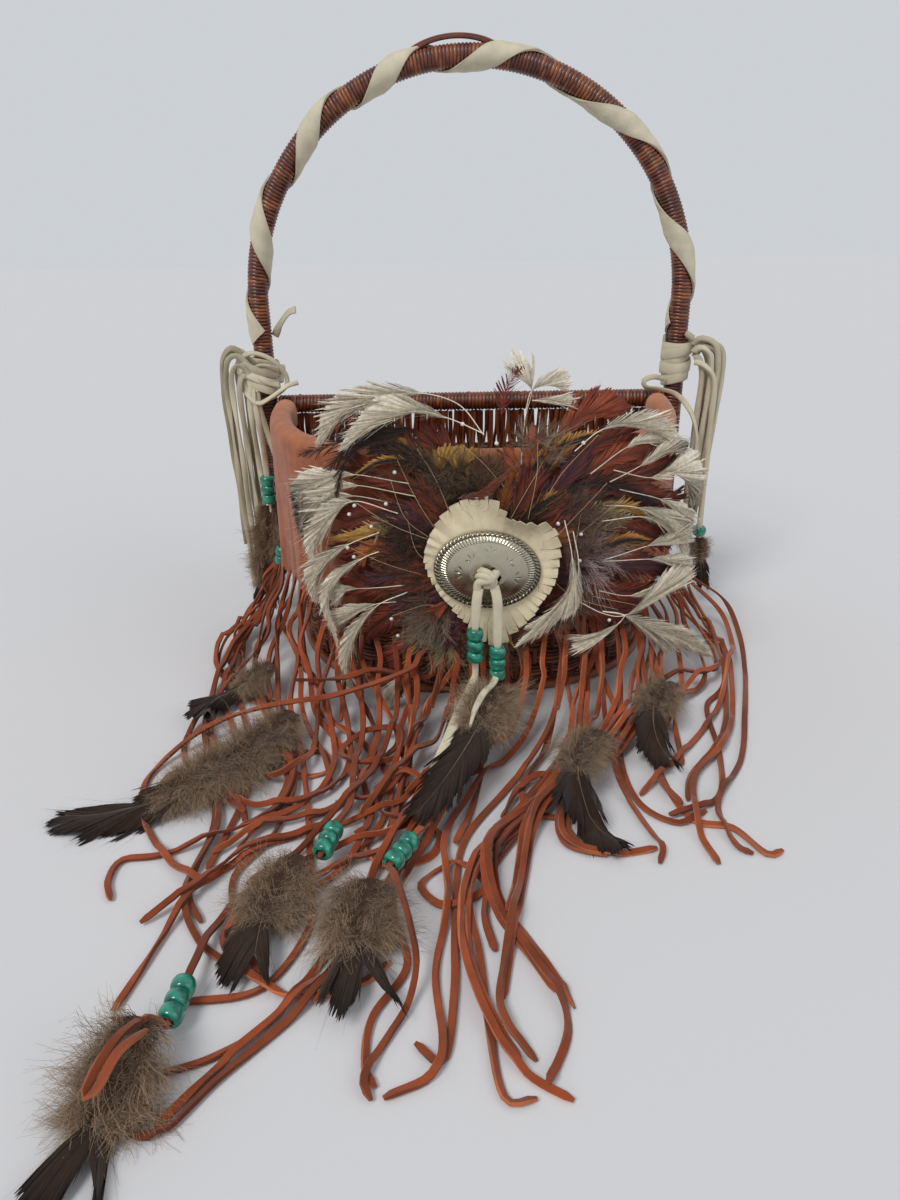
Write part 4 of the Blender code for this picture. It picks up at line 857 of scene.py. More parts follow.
def lace_route(u, route):
    """A lace's points every 3 mm, from the hem down to the floor and along it."""
    start, outward = hem_point(u * MM)
    along = np.array((-outward[1], outward[0], 0.0))
    wind = random.Random(u)
    below = start + outward * 0.003 - np.array((0, 0, 0.014))
    middle = ((below + np.array(route[0]) * MM) / 2 + along * wind.gauss(0, 2.0) * MM
              + outward * wind.uniform(0, 6) * MM)
    points = [start, below, middle]
    for spot in route:
        z = spot[2] * MM if len(spot) > 2 else FLOOR_LIFT
        points.append((spot[0] * MM, spot[1] * MM, z))
    line = smooth_route(points, LACE_STEP)
    line[:, 2] = np.maximum(line[:, 2], FLOOR_LIFT)
    if u in BEADED_ENDS:
        way = line[-1] - line[-2]
        way[2] = 0
        line = np.concatenate([line, line[-1] + unit(way) * LACE_STEP * np.arange(1, 9)[:, None]])
    return line


def looped(line, across, rng):
    """The line with one loose turn laid into the part that lies on the floor."""
    at = rng.randrange(int(len(line) * 0.5), int(len(line) * 0.85))
    size, side = rng.uniform(9, 17) * MM, rng.choice((-1, 1))
    out = across[at] * side
    way = unit(line[at + 1] - line[at - 1])
    steps = int(2 * math.pi * size / LACE_STEP)
    turn = 2 * math.pi * np.arange(1, steps) / steps
    grow = 1 + 0.12 * np.sin(turn / 2)
    ring = (line[at] + out * (size * grow * (1 - np.cos(turn)))[:, None]
            + way * (size * grow * np.sin(turn))[:, None])
    return np.concatenate([line[:at + 1], ring, line[at + 1:]])


def beside(line, u, rng, side, short=False, tight=False):
    """A lace that follows another to one side, strays from it and ends sooner.

    A short one ends much sooner; a tight one stays next to it all the way.
    """
    keep = rng.uniform(0.34, 0.56) if short else rng.uniform(0.55, 0.97)
    keep = rng.uniform(0.80, 0.98) if tight else keep
    count = max(20, int(len(line) * keep))
    line = line[:count]
    ways = tangents(line)
    across = np.stack([ways[:, 1], -ways[:, 0], np.zeros(count)], 1)
    flat = np.linalg.norm(across, axis=1, keepdims=True)
    across = across / np.maximum(flat, 0.3)
    f = np.linspace(0, 1, count)
    near = rng.uniform(3.0, 8.0) * MM
    stray = rng.uniform(-28, 20) * MM * f ** 1.3
    rate, phase = rng.uniform(0.4, 1.3), rng.random()
    high = rng.uniform(1, 4) if short else rng.uniform(3, 8)
    if tight:
        near, stray, high = 3.7 * MM, stray * 0.12, 0.8
    wave = high * MM * np.clip(3 * f, 0, 1) * np.sin(2 * math.pi * (rate * f + phase))
    moved = line + across * side * (near + stray + wave)[:, None]
    if rng.random() < 0.34 and count > 52 and not tight:
        moved = looped(moved, across, rng)
    start, outward = hem_point(u)
    along = np.array((-outward[1], outward[0], 0.0))
    sway = rng.gauss(0, 1.5 if tight else 3.0) * MM
    belly = rng.uniform(6, 14) * MM
    first = [start, start + outward * 0.004 + along * sway * 0.15 - np.array((0, 0, 0.012)),
             start + outward * belly + along * sway - np.array((0, 0, rng.uniform(0.026, 0.040)))]
    join = rng.randrange(18, 30)
    rest = moved[join::6]
    rest[:, 2] = np.maximum(rest[:, 2], FLOOR_LIFT)
    return smooth_route(np.concatenate([first, rest]), LACE_STEP)


class Pile:
    """What lies on the floor already, as points with heights."""

    def __init__(self):
        self.points = np.zeros((0, 3))

    def add(self, line):
        self.points = np.concatenate([self.points, line[line[:, 2] < 0.016]])

    def top(self, spots, radius):
        """How high the pile is under each spot."""
        if not len(self.points):
            return np.zeros(len(spots))
        apart = np.linalg.norm(spots[:, None, :2] - self.points[None, :, :2], axis=2)
        return np.where(apart < radius, self.points[None, :, 2], 0).max(axis=1)

    def settle(self, line, side=0.0034, rise=0.0020, held=4, slope=0.32):
        """Lay a line over the pile and over itself, in gentle humps."""
        line = line.copy()
        own = line[:, 2].copy()
        count = len(line)
        index = np.arange(count)
        tops = self.top(line, side)
        need = np.where((tops > 0) & (own < 0.014), tops + rise, 0)
        apart = np.linalg.norm(line[:, None, :2] - line[None, :, :2], axis=2)
        late, early = np.nonzero((apart < side) & (index[:, None] - index[None, :] > 8))
        reach = np.abs(index[:, None] - index[None, :]) * LACE_STEP * slope
        for _ in range(4):
            free = np.where(own > 0.012, 0, need)
            high = (free[None, :] - reach).max(axis=1)
            soft = np.convolve(np.pad(high, 2, mode="edge"), np.ones(5) / 5, mode="valid")
            high = np.maximum(high * 0.4 + soft * 0.6, need)
            fade = np.clip(index / held, 0, 1)
            line[:, 2] = np.maximum(own, own + (np.maximum(high, own) - own) * fade)
            if not len(late):
                break
            up = np.zeros(count)
            np.maximum.at(up, late, line[early, 2] + rise)
            need = np.maximum(need, up)
        return line


def rolled(face, across, angle):
    """Two directions square to each other, turned by an angle at each point of a line."""
    c, s = np.cos(angle)[:, None], np.sin(angle)[:, None]
    return face * c + across * s, across * c - face * s


def section(line, across, face, half_width, half_thick, corners):
    """A section's corners at each point of a line."""
    return np.stack([line + across * (half_width * a)[:, None] + face * (half_thick * b)[:, None]
                     for a, b in corners], 1)


def strap(work, line, outward, width, colours, rng, turn):
    """A flat leather lace with crisp edges that rolls a little as it goes."""
    tint, edge = colours
    count = len(line)
    ways = tangents(line)
    level = 1 - np.abs(ways[:, 2:3])
    face = square_to(ways, unit(outward * (1 - level) + np.array((0, 0, 1)) * level))
    s = np.arange(count) * LACE_STEP
    roll = turn * sum(a * np.sin(2 * math.pi * s / p + rng.uniform(0, 6.3))
                      for a, p in ((0.7, 0.14), (0.5, 0.063), (0.25, 0.031)))
    roll *= np.clip(s / 0.02, 0, 1)
    face, across = rolled(face, np.cross(face, ways), roll)
    half_width = width / 2 * (1 + 0.06 * np.sin(s / 0.017 + rng.uniform(0, 6.3)))
    half_thick = LACE_THICK / 2 * np.ones(count)
    half_width[-1] *= 0.55
    half_thick[-1] *= 0.6
    shade = 1 + 0.12 * np.sin(s / 0.011 + rng.uniform(0, 6.3)) + 0.07 * np.sin(s / 0.0041)
    top, rim, under = (c * shade[:, None] for c in (tint, edge, mix(tint, edge, 0.4)))
    # Painted light: one edge takes the pale edge colour as a painted highlight, the other side is darkened to 0.52 as
    # painted shade, and the top next to it to 0.9.
    dark = top * 0.52
    tints = np.stack([rim, rim, top, top, top * 0.9, dark, dark, dark, under, under, rim, rim], 1)
    work.grid(section(line, across, face, half_width, half_thick, LACE_SECTION), tints, closed=True,
              caps=True)


def lay_laces():
    """Every lace in the order it fell, with the ones that follow it."""
    rng = random.Random(11)
    pile = Pile()
    main, extra = {}, []
    routes = []
    for name, laces in GROUPS:
        keys = sorted(laces)
        for k, u in enumerate(keys):
            gap = (keys[k + 1] - u) if k + 1 < len(keys) else 10
            routes.append((name, u, laces[u], gap))
    routes.sort(key=lambda r: r[1] in BEADED_ENDS)

    def follow(name, place, twin, widest):
        """Lay a lace that follows a traced one, unless it strays further out than that."""
        if np.abs(twin[:, 0]).max() < widest:
            twin = pile.settle(twin)
            pile.add(twin)
            extra.append((name, place, twin))

    for name, u, route, gap in routes:
        line = lace_route(u, route)
        if u not in BEADED_ENDS:
            widest = np.abs(line[:, 0]).max() + 0.006
            for place, side in ((u + gap / 3, 1), (u - gap / 3, -1)):
                if u in SWEPT:
                    follow(name, place, beside(line, place * MM, rng, side, tight=True), widest)
                elif rng.random() < (0.42 if name == "right" else 0.56):
                    follow(name, place, beside(line, place * MM, rng, side), widest)
                place += side * gap / 6
                if rng.random() < (0.3 if u in SWEPT or name == "right" else 0.5):
                    follow(name, place, beside(line, place * MM, rng, -side, short=True), widest)
        line = pile.settle(line)
        if u in BEADED_ENDS:
            last = line[-9:]
            high = pile.top(last, BEAD_R + 0.003).max()
            level = max(high + BEAD_R + 0.0014, BEAD_R + 0.0006)
            near_end = np.clip((np.arange(len(line)) - (len(line) - 22)) / 12, 0, 1)
            line[:, 2] = np.maximum(line[:, 2], line[:, 2] * (1 - near_end) + level * near_end)
            line[-9:, 2] = level
            pile.add(last + (0, 0, BEAD_R))
        pile.add(line)
        main[u] = (name, line)
    for u, name, points in LACE_ENDS:
        line = pile.settle(smooth_route([main[u][1][-1], *in_metres(points)], LACE_STEP))
        pile.add(line)
        extra.append((name, u, line))
    return main, extra, pile


def lace_colours(rng):
    """A lace's own tone, and that of its cut edges, which also carries a painted highlight."""
    warm = rng.uniform(0.70, 1.20)
    skin = mix(LACE, rgb(150, 82, 52), rng.random() * 0.6) * warm
    return skin, mix(LACE_CUT_EDGE_AND_HIGHLIGHT, LACE, rng.random() * 0.7) * warm


def make_laces(apron):
    """The traced laces as pieces of their own, and their neighbours in one piece for each side."""
    rng = random.Random(12)
    main, extra, pile = lay_laces()
    shown = {}
    for u, (name, line) in main.items():
        work = Work()
        strap(work, line, hem_point(u * MM)[1], LACE_WIDTH, lace_colours(rng), rng,
              0.0 if u in BEADED_ENDS else 0.6)
        title = f"lace_{name}_{'m' if u < 0 else 'p'}{abs(u):03d}"
        shown[u] = work.piece(title, SUEDE, slot="suede")
    for name, laces in GROUPS:
        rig.replaces(shown[sorted(laces)[0]], f"fringe_{name}")
    bundles = []
    for name, _ in GROUPS:
        work = Work()
        for where, u, line in extra:
            if where == name:
                colours = lace_colours(rng)
                wide = LACE_WIDTH * rng.uniform(0.86, 1.14)
                strap(work, line, hem_point(u * MM)[1], wide, colours, rng, 1.0)
        bundles.append(work.piece(f"more_laces_{name}", SUEDE, slot="suede"))
    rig.sheet(apron, flat=(2 * BOW_HALF - 0.026, 0.113), held="draped",
             rests_on=["front_rim", "front_wall"], with_pieces=bundles)
    return main, shown, pile


def declare_laces(laces, shown, riders):
    """Say what each traced lace is: a limp strip of suede that hangs from the hem, lying loose."""
    for u, (_, line) in laces.items():
        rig.cord(shown[u], exit=line[0], length=path_length(line), diameter=0.0032, far_end="bare",
                stiffness="limp", lay="loose", path=line, with_pieces=riders.get(u, []))


# Feathers

def ramp(value, stops):
    """Colours along a value from 0 to 1; stops are (place, colour)."""
    places = [p for p, _ in stops]
    tones = np.array([c for _, c in stops])
    return np.stack([np.interp(value, places, tones[:, k]) for k in range(3)], -1)


def strands(work, root, way, bend, up, length, breadth, tint, curl=0.0, seg=4, taper=0.85,
            chance=None):
    """Thin tapering strips, each leaving its root along its way and bending as it goes.

    tint has a colour for each strip and each of its seg + 1 stations.
    """
    count = len(root)
    t = np.linspace(0, 1, seg + 1)[None, :, None]
    reach = np.broadcast_to(length, (count,))[:, None, None]
    points = root[:, None] + (way[:, None] * t + bend[:, None] * t * t) * reach
    if curl:
        side = unit(np.cross(way, up))
        phase = chance.uniform(0, 6.3, (count, 1, 1))
        rate = chance.uniform(5, 10, (count, 1, 1))
        size = curl * reach * t
        points = points + size * (np.sin(rate * t + phase)) * side[:, None]
        points = points + 0.6 * size * (np.cos(rate * 0.8 * t + phase)) * up[:, None]
    points[..., 2] = np.maximum(points[..., 2], 0.0006)
    ahead = unit(np.gradient(points, axis=1))
    across = unit(np.cross(up[:, None], ahead))
    half = np.broadcast_to(breadth, (count,))[:, None, None] / 2 * (1 - taper * t ** 1.7)
    both = np.stack([points - across * half, points + across * half], 2)
    base = (np.arange(count) * (seg + 1) * 2)[:, None]
    k = (np.arange(seg) * 2)[None, :]
    quads = np.stack([base + k, base + k + 1, base + k + 3, base + k + 2], -1).reshape(-1, 4)
    work.add(both.reshape(-1, 3), quads.tolist(), np.repeat(tint, 2, axis=1).reshape(-1, 3))


# Outlines of a vane: the share of its length over which it widens, then the two powers with
# which it narrows to its tip.
LANCE, PETAL, BLADE, SAIL = (0.16, 1.3, 0.75), (0.24, 4.0, 0.6), (0.10, 2.6, 0.7), (0.24, 1.1, 0.95)
SOFT_RUST = [(0, rgb(82, 58, 46)), (1, rgb(106, 82, 66))]
SOFT_CREAM = [(0, rgb(168, 160, 142)), (1, rgb(188, 180, 164))]
# How each kind of feather is made: barbs for each millimetre of a side, the angle they leave
# the shaft at and their bend towards the tip, barbs in a lock and how far a lock closes
# towards its tip, how unevenly the locks lie, the vane's outline, and the colours of the
# shaft, of the soft barbs low on the quill, and across the others from root to tip.
KINDS = {
    "rust": (3.0, 28, 0.26, (5, 14), 0.26, 0.06, PETAL, rgb(58, 28, 20), SOFT_RUST,
             [(0, rgb(66, 28, 20)), (0.5, rgb(124, 54, 33)), (0.85, rgb(112, 46, 30)),
              (1, rgb(70, 30, 22))]),
    "bright": (3.0, 28, 0.26, (5, 14), 0.24, 0.05, PETAL, rgb(96, 46, 28), SOFT_RUST,
               [(0, rgb(118, 52, 32)), (0.6, rgb(160, 78, 48)), (1, rgb(134, 62, 38))]),
    "petal": (3.2, 27, 0.26, (8, 20), 0.16, 0.04, PETAL, rgb(84, 42, 28), SOFT_RUST,
              [(0, rgb(132, 64, 40)), (0.8, rgb(150, 78, 48)), (1, rgb(44, 26, 22))]),
    "maroon": (3.0, 28, 0.26, (5, 14), 0.24, 0.05, PETAL, rgb(50, 24, 24),
               [(0, rgb(70, 46, 46)), (1, rgb(90, 64, 60))],
               [(0, rgb(58, 28, 32)), (0.7, rgb(92, 44, 48)), (1, rgb(62, 34, 40))]),
    "stripe": (3.4, 20, 0.20, (3, 9), 0.7, 0.05, LANCE, rgb(40, 28, 20),
               [(0, rgb(60, 50, 40)), (1, rgb(104, 90, 72))],
               [(0, rgb(26, 20, 16)), (0.48, rgb(36, 26, 18)), (0.66, rgb(168, 112, 48)),
                (1, rgb(196, 146, 78))]),
    "gold": (3.4, 22, 0.20, (3, 9), 0.6, 0.05, LANCE, rgb(104, 74, 38),
             [(0, rgb(112, 92, 62)), (1, rgb(140, 116, 80))],
             [(0, rgb(150, 106, 46)), (0.6, rgb(184, 140, 64)), (1, rgb(172, 138, 84))]),
    "amber": (3.2, 25, 0.22, (3, 9), 0.38, 0.08, LANCE, rgb(92, 52, 26), SOFT_RUST,
              [(0, rgb(120, 66, 32)), (0.6, rgb(168, 96, 44)), (1, rgb(150, 98, 58))]),
    "red": (3.2, 20, 0.18, (4, 12), 0.26, 0.04, LANCE, rgb(74, 36, 28), SOFT_RUST,
            [(0, rgb(100, 46, 34)), (1, rgb(126, 66, 48))]),
    "dark": (3.0, 30, 0.25, (2, 7), 0.45, 0.14, LANCE, rgb(36, 27, 22),
             [(0, rgb(58, 46, 38)), (1, rgb(80, 64, 52))],
             [(0, rgb(34, 25, 21)), (1, rgb(58, 42, 34))]),
    "dusty": (2.6, 36, 0.30, (2, 6), 0.45, 0.22, LANCE, rgb(112, 96, 74),
              [(0, rgb(90, 76, 60)), (1, rgb(126, 110, 88))],
              [(0, rgb(100, 82, 58)), (0.5, rgb(142, 122, 92)), (1, rgb(164, 146, 116))]),
    "black": (3.4, 19, 0.18, (2, 7), 0.5, 0.10, LANCE, rgb(30, 18, 15),
              [(0, rgb(52, 36, 30)), (1, rgb(68, 46, 38))],
              [(0, rgb(30, 18, 15)), (0.6, rgb(50, 28, 23)), (1, rgb(72, 43, 34))]),
    "cream": (4.8, 13, 0.14, (3, 10), 0.42, 0.026, SAIL, rgb(238, 230, 210), SOFT_CREAM,
              [(0, rgb(160, 146, 122)), (0.35, rgb(224, 213, 192)), (1, rgb(240, 232, 216))]),
    "grizzle": (4.8, 14, 0.14, (3, 10), 0.42, 0.028, SAIL, rgb(214, 204, 182), SOFT_CREAM,
                [(0, rgb(160, 146, 122)), (0.42, rgb(148, 134, 114)), (0.62, rgb(72, 56, 47)),
                 (1, rgb(38, 29, 25))]),
    "upright": (2.6, 40, 0.05, (2, 5), 0.5, 0.07, LANCE, rgb(128, 50, 36),
                [(0, rgb(128, 52, 38)), (1, rgb(122, 60, 48))],
                [(0, rgb(126, 46, 34)), (0.5, rgb(112, 46, 36)), (1, rgb(66, 42, 38))]),
    "floor": (3.2, 27, 0.30, (10, 30), 0.14, 0.035, BLADE, rgb(112, 92, 74),
              [(0, rgb(78, 62, 50)), (1, rgb(92, 76, 62))],
              [(0, rgb(48, 37, 31)), (0.6, rgb(58, 44, 37)), (1, rgb(30, 23, 20))]),
}


def locked(work, points, tints, locks):
    """Barbs laid side by side; those of one lock are joined into a sheet."""
    stations = points.shape[1]
    points = np.stack([points[..., 0], points[..., 1], np.maximum(points[..., 2], 0.0004)], -1)
    first = np.nonzero(locks[1:] == locks[:-1])[0][:, None] * stations
    a = first + np.arange(stations - 1)[None, :]
    quads = np.stack([a, a + 1, a + stations + 1, a + stations], -1).reshape(-1, 4)
    work.add(points.reshape(-1, 3), quads.tolist(), tints.reshape(-1, 3))


def paint(kind, f, t, side):
    """The colour of barbs that leave the shaft at shares f, at places t out along them."""
    low, high = KINDS[kind][8:]
    blend = np.clip((f - 0.06) / 0.16, 0, 1)[:, None, None]
    colour = ramp(t, low)[None] * (1 - blend) + ramp(t, high)[None] * blend
    if kind == "grizzle":
        pale = ramp(t, KINDS["cream"][9])[None]
        dark = np.clip((f - 0.30) / 0.35, 0, 1)[:, None, None] * (1.0 if side > 0 else 0.5)
        colour = pale * (1 - dark) + colour * dark
    if kind == "petal":
        colour = colour * (1 - 0.75 * np.clip((f - 0.86) / 0.1, 0, 1))[:, None, None]
    return colour


def plume(work, line, up, width, kind, seed, start=0.0, shaft=0.45, droop=0.12, split=1.0):
    """A feather along a line: a shaft, and on each side a vane that ends in parted barbs.

    start is the share of the quill that is bare; split widens the gaps between locks.
    """
    chance = np.random.default_rng(seed)
    close, angle, bend, sizes, gather, wild, outline, stem = KINDS[kind][:8]
    rise, fall, power = outline
    contrast, ragged = (0.45, 0.24) if outline is SAIL else (1.0, 0.12)
    line = np.asarray(line, float)
    along = lengths(line)
    total = along[-1]
    ways = tangents(line)
    up = np.broadcast_to(up, line.shape)
    warm = 1 + contrast * chance.uniform(-0.16, 0.12)
    radius = shaft * MM * (1 - 0.85 * along / total)
    tube(work, line, radius, np.broadcast_to(stem * warm, (len(line), 3)), 5, first=up[0])
    t = np.array((0, 0.12, 0.3, 0.5, 0.7, 0.87, 1.0))
    far = t[None, :, None]

    def leave(f, side):
        """Where barbs at shares f leave the shaft; the ways on, up and out; how far they go."""
        s = (start + (0.99 - start) * f) * total
        way = unit(values_at(s, along, ways))
        top = square_to(way, unit(values_at(s, along, up)))
        half = (width / 2 * MM * (0.15 + 0.85 * np.clip(f / rise, 0, 1) ** 0.7)
                * (1 - f ** fall) ** power)
        lean = math.radians(angle) * (1.2 - 0.45 * f)
        reach = (half + 0.0004) / np.sin(lean)
        return values_at(s, along, line), way, top, np.cross(way, top) * side, lean, reach

    def barbs(seat, way, top, out, lean, reach, turn, humps):
        """The points of barbs that leave their seats, bend with the turn and arch a little."""
        go = way * np.cos(lean)[:, None] + out * np.sin(lean)[:, None]
        gone = go[:, None] * far + turn[:, None] * far * far
        points = seat[:, None] + gone * reach[:, None, None]
        return go, points + (top * humps[:, None])[:, None] * np.sin(math.pi * far)

    def vane(f, side):
        """The closed part of a vane, torn in at a few places."""
        at, way, top, out, lean, reach = leave(f, side)
        torn = np.ones(len(f))
        for _ in range(int(3 * split + chance.integers(0, 3))):
            depth = chance.uniform(0.25, 0.6)
            torn -= depth * np.exp(-((f - chance.uniform(0.2, 0.95)) / 0.012) ** 2)
        reach = reach * 0.86 * np.clip(torn, 0.35, 1) * chance.uniform(0.95, 1.03, len(f))
        _, points = barbs(at, way, top, out, lean, reach, way * bend - top * droop,
                          0.06 * reach * split - 0.00022)
        points = points + top[:, None] * chance.normal(0, 0.05 * MM, (len(f), 1, 1)) * far
        streaks = (1 + contrast * chance.uniform(-0.16, 0.06, len(f))) * warm
        tints = paint(kind, f, t, side) * streaks[:, None, None]
        locked(work, points, tints, np.zeros(len(f), int))

    for side in (-1, 1):
        if kind not in ("dusty", "dark", "upright", "black"):
            vane(np.linspace(0.10, 0.985, int(2.6 * total * (1 - start) / MM) + 8), side)
        count = int(close * total * (1 - start) / MM) + 12
        f = np.clip((np.arange(count) + chance.uniform(-0.3, 0.3, count)) / (count - 1), 0, 1)
        at, way, top, out, lean, reach = leave(f, side)
        locks = np.repeat(np.arange(count), chance.integers(*sizes, count))[:count]
        locks[-1] = locks[-2]
        reach = reach * chance.uniform(1 - ragged, 1.08, count)
        reach = reach * chance.uniform(0.86, 1.1, count)[locks]
        parted = (chance.random(count) < 0.16) * chance.normal(0, 0.13 * split, count)
        lean = lean + (chance.normal(0, wild * 0.6, count) + parted)[locks]
        turn = way * bend - top * (droop * chance.uniform(0.5, 1.5, count)[locks])[:, None]
        turn = turn + chance.normal(0, wild, (count, 3))[locks]
        seat = at + top * (chance.uniform(-0.05, 0.12, count)[locks] * MM)[:, None]
        go, points = barbs(seat, way, top, out, lean, reach, turn, 0.06 * reach * split)
        heads = np.nonzero(np.diff(locks, prepend=-1))[0]
        many = np.diff(np.append(heads, count))
        middle = np.repeat(np.add.reduceat(points, heads) / many[:, None, None], many, axis=0)
        points = points + (middle - points) * (gather * far ** 3.2)
        place = (np.arange(count) - np.repeat(heads, many)) / np.repeat(many, many) - 0.5
        points = points + top[:, None] * (place * 0.3 * MM)[:, None, None] * far
        vary = chance.uniform(-0.15, 0.12, count) + chance.uniform(-0.08, 0.06, count)[locks]
        colour = paint(kind, f, t, side) * ((1 + contrast * vary) * warm)[:, None, None]
        locked(work, points, colour, locks)
        stray = chance.random(count) < 0.18
        loose = turn[stray] + chance.normal(0, 0.12, (stray.sum(), 3))
        strands(work, seat[stray], go[stray], loose, top[stray], reach[stray] * 1.12, 0.14 * MM,
                colour[stray][:, ::2], seg=3, taper=0.8)


# Strands of down that bend together.
WISP = 12


def wisps(values, spread, chance):
    """Each value once for every strand of its wisp, a little apart."""
    values = np.repeat(values, WISP, axis=0)
    return values + chance.normal(0, 1, values.shape) * spread


def down(work, spots, ways, ups, length, tints, seed, breadth=0.16, curl=0.08, droop=0.1,
         stray=0.25):
    """Soft curly strands, one at each spot; every WISP of them bend the same way."""
    chance = np.random.default_rng(seed)
    count = len(spots)
    wisp = np.arange(count) // WISP
    reach = length * chance.uniform(0.6, 1.15, count)[wisp] * chance.uniform(0.55, 1.08, count)
    go = ways + chance.normal(0, stray, (count, 3))[wisp]
    go = go + chance.normal(0, stray * 0.45, (count, 3))
    turn = chance.normal(0, 0.36, (count, 3))[wisp] + chance.normal(0, 0.14, (count, 3))
    turn = turn - ups * droop
    t = np.linspace(0, 1, 6)
    level = chance.uniform(0.72, 1.16, count)[wisp] * chance.uniform(0.86, 1.1, count)
    colour = ramp(t, tints)[None] * level[:, None, None]
    strands(work, spots, unit(go), turn, ups, reach, breadth * MM, colour, curl=curl, seg=5,
            taper=0.5, chance=chance)


def spray_at(x, z, lift=0.0):
    """Points on the spray, x, z and lift in millimetres, and which way is out."""
    x, z, lift = (np.asarray(v, float) * MM for v in (x, z, lift))
    out = unit(np.stack([2 * SPRAY_CURVE * x, -np.ones_like(x), np.zeros_like(x)], -1))
    base = np.stack([x, SPRAY_Y + SPRAY_CURVE * x * x, z + 0 * x], -1)
    return base + out * np.asarray(lift, float)[..., None], out


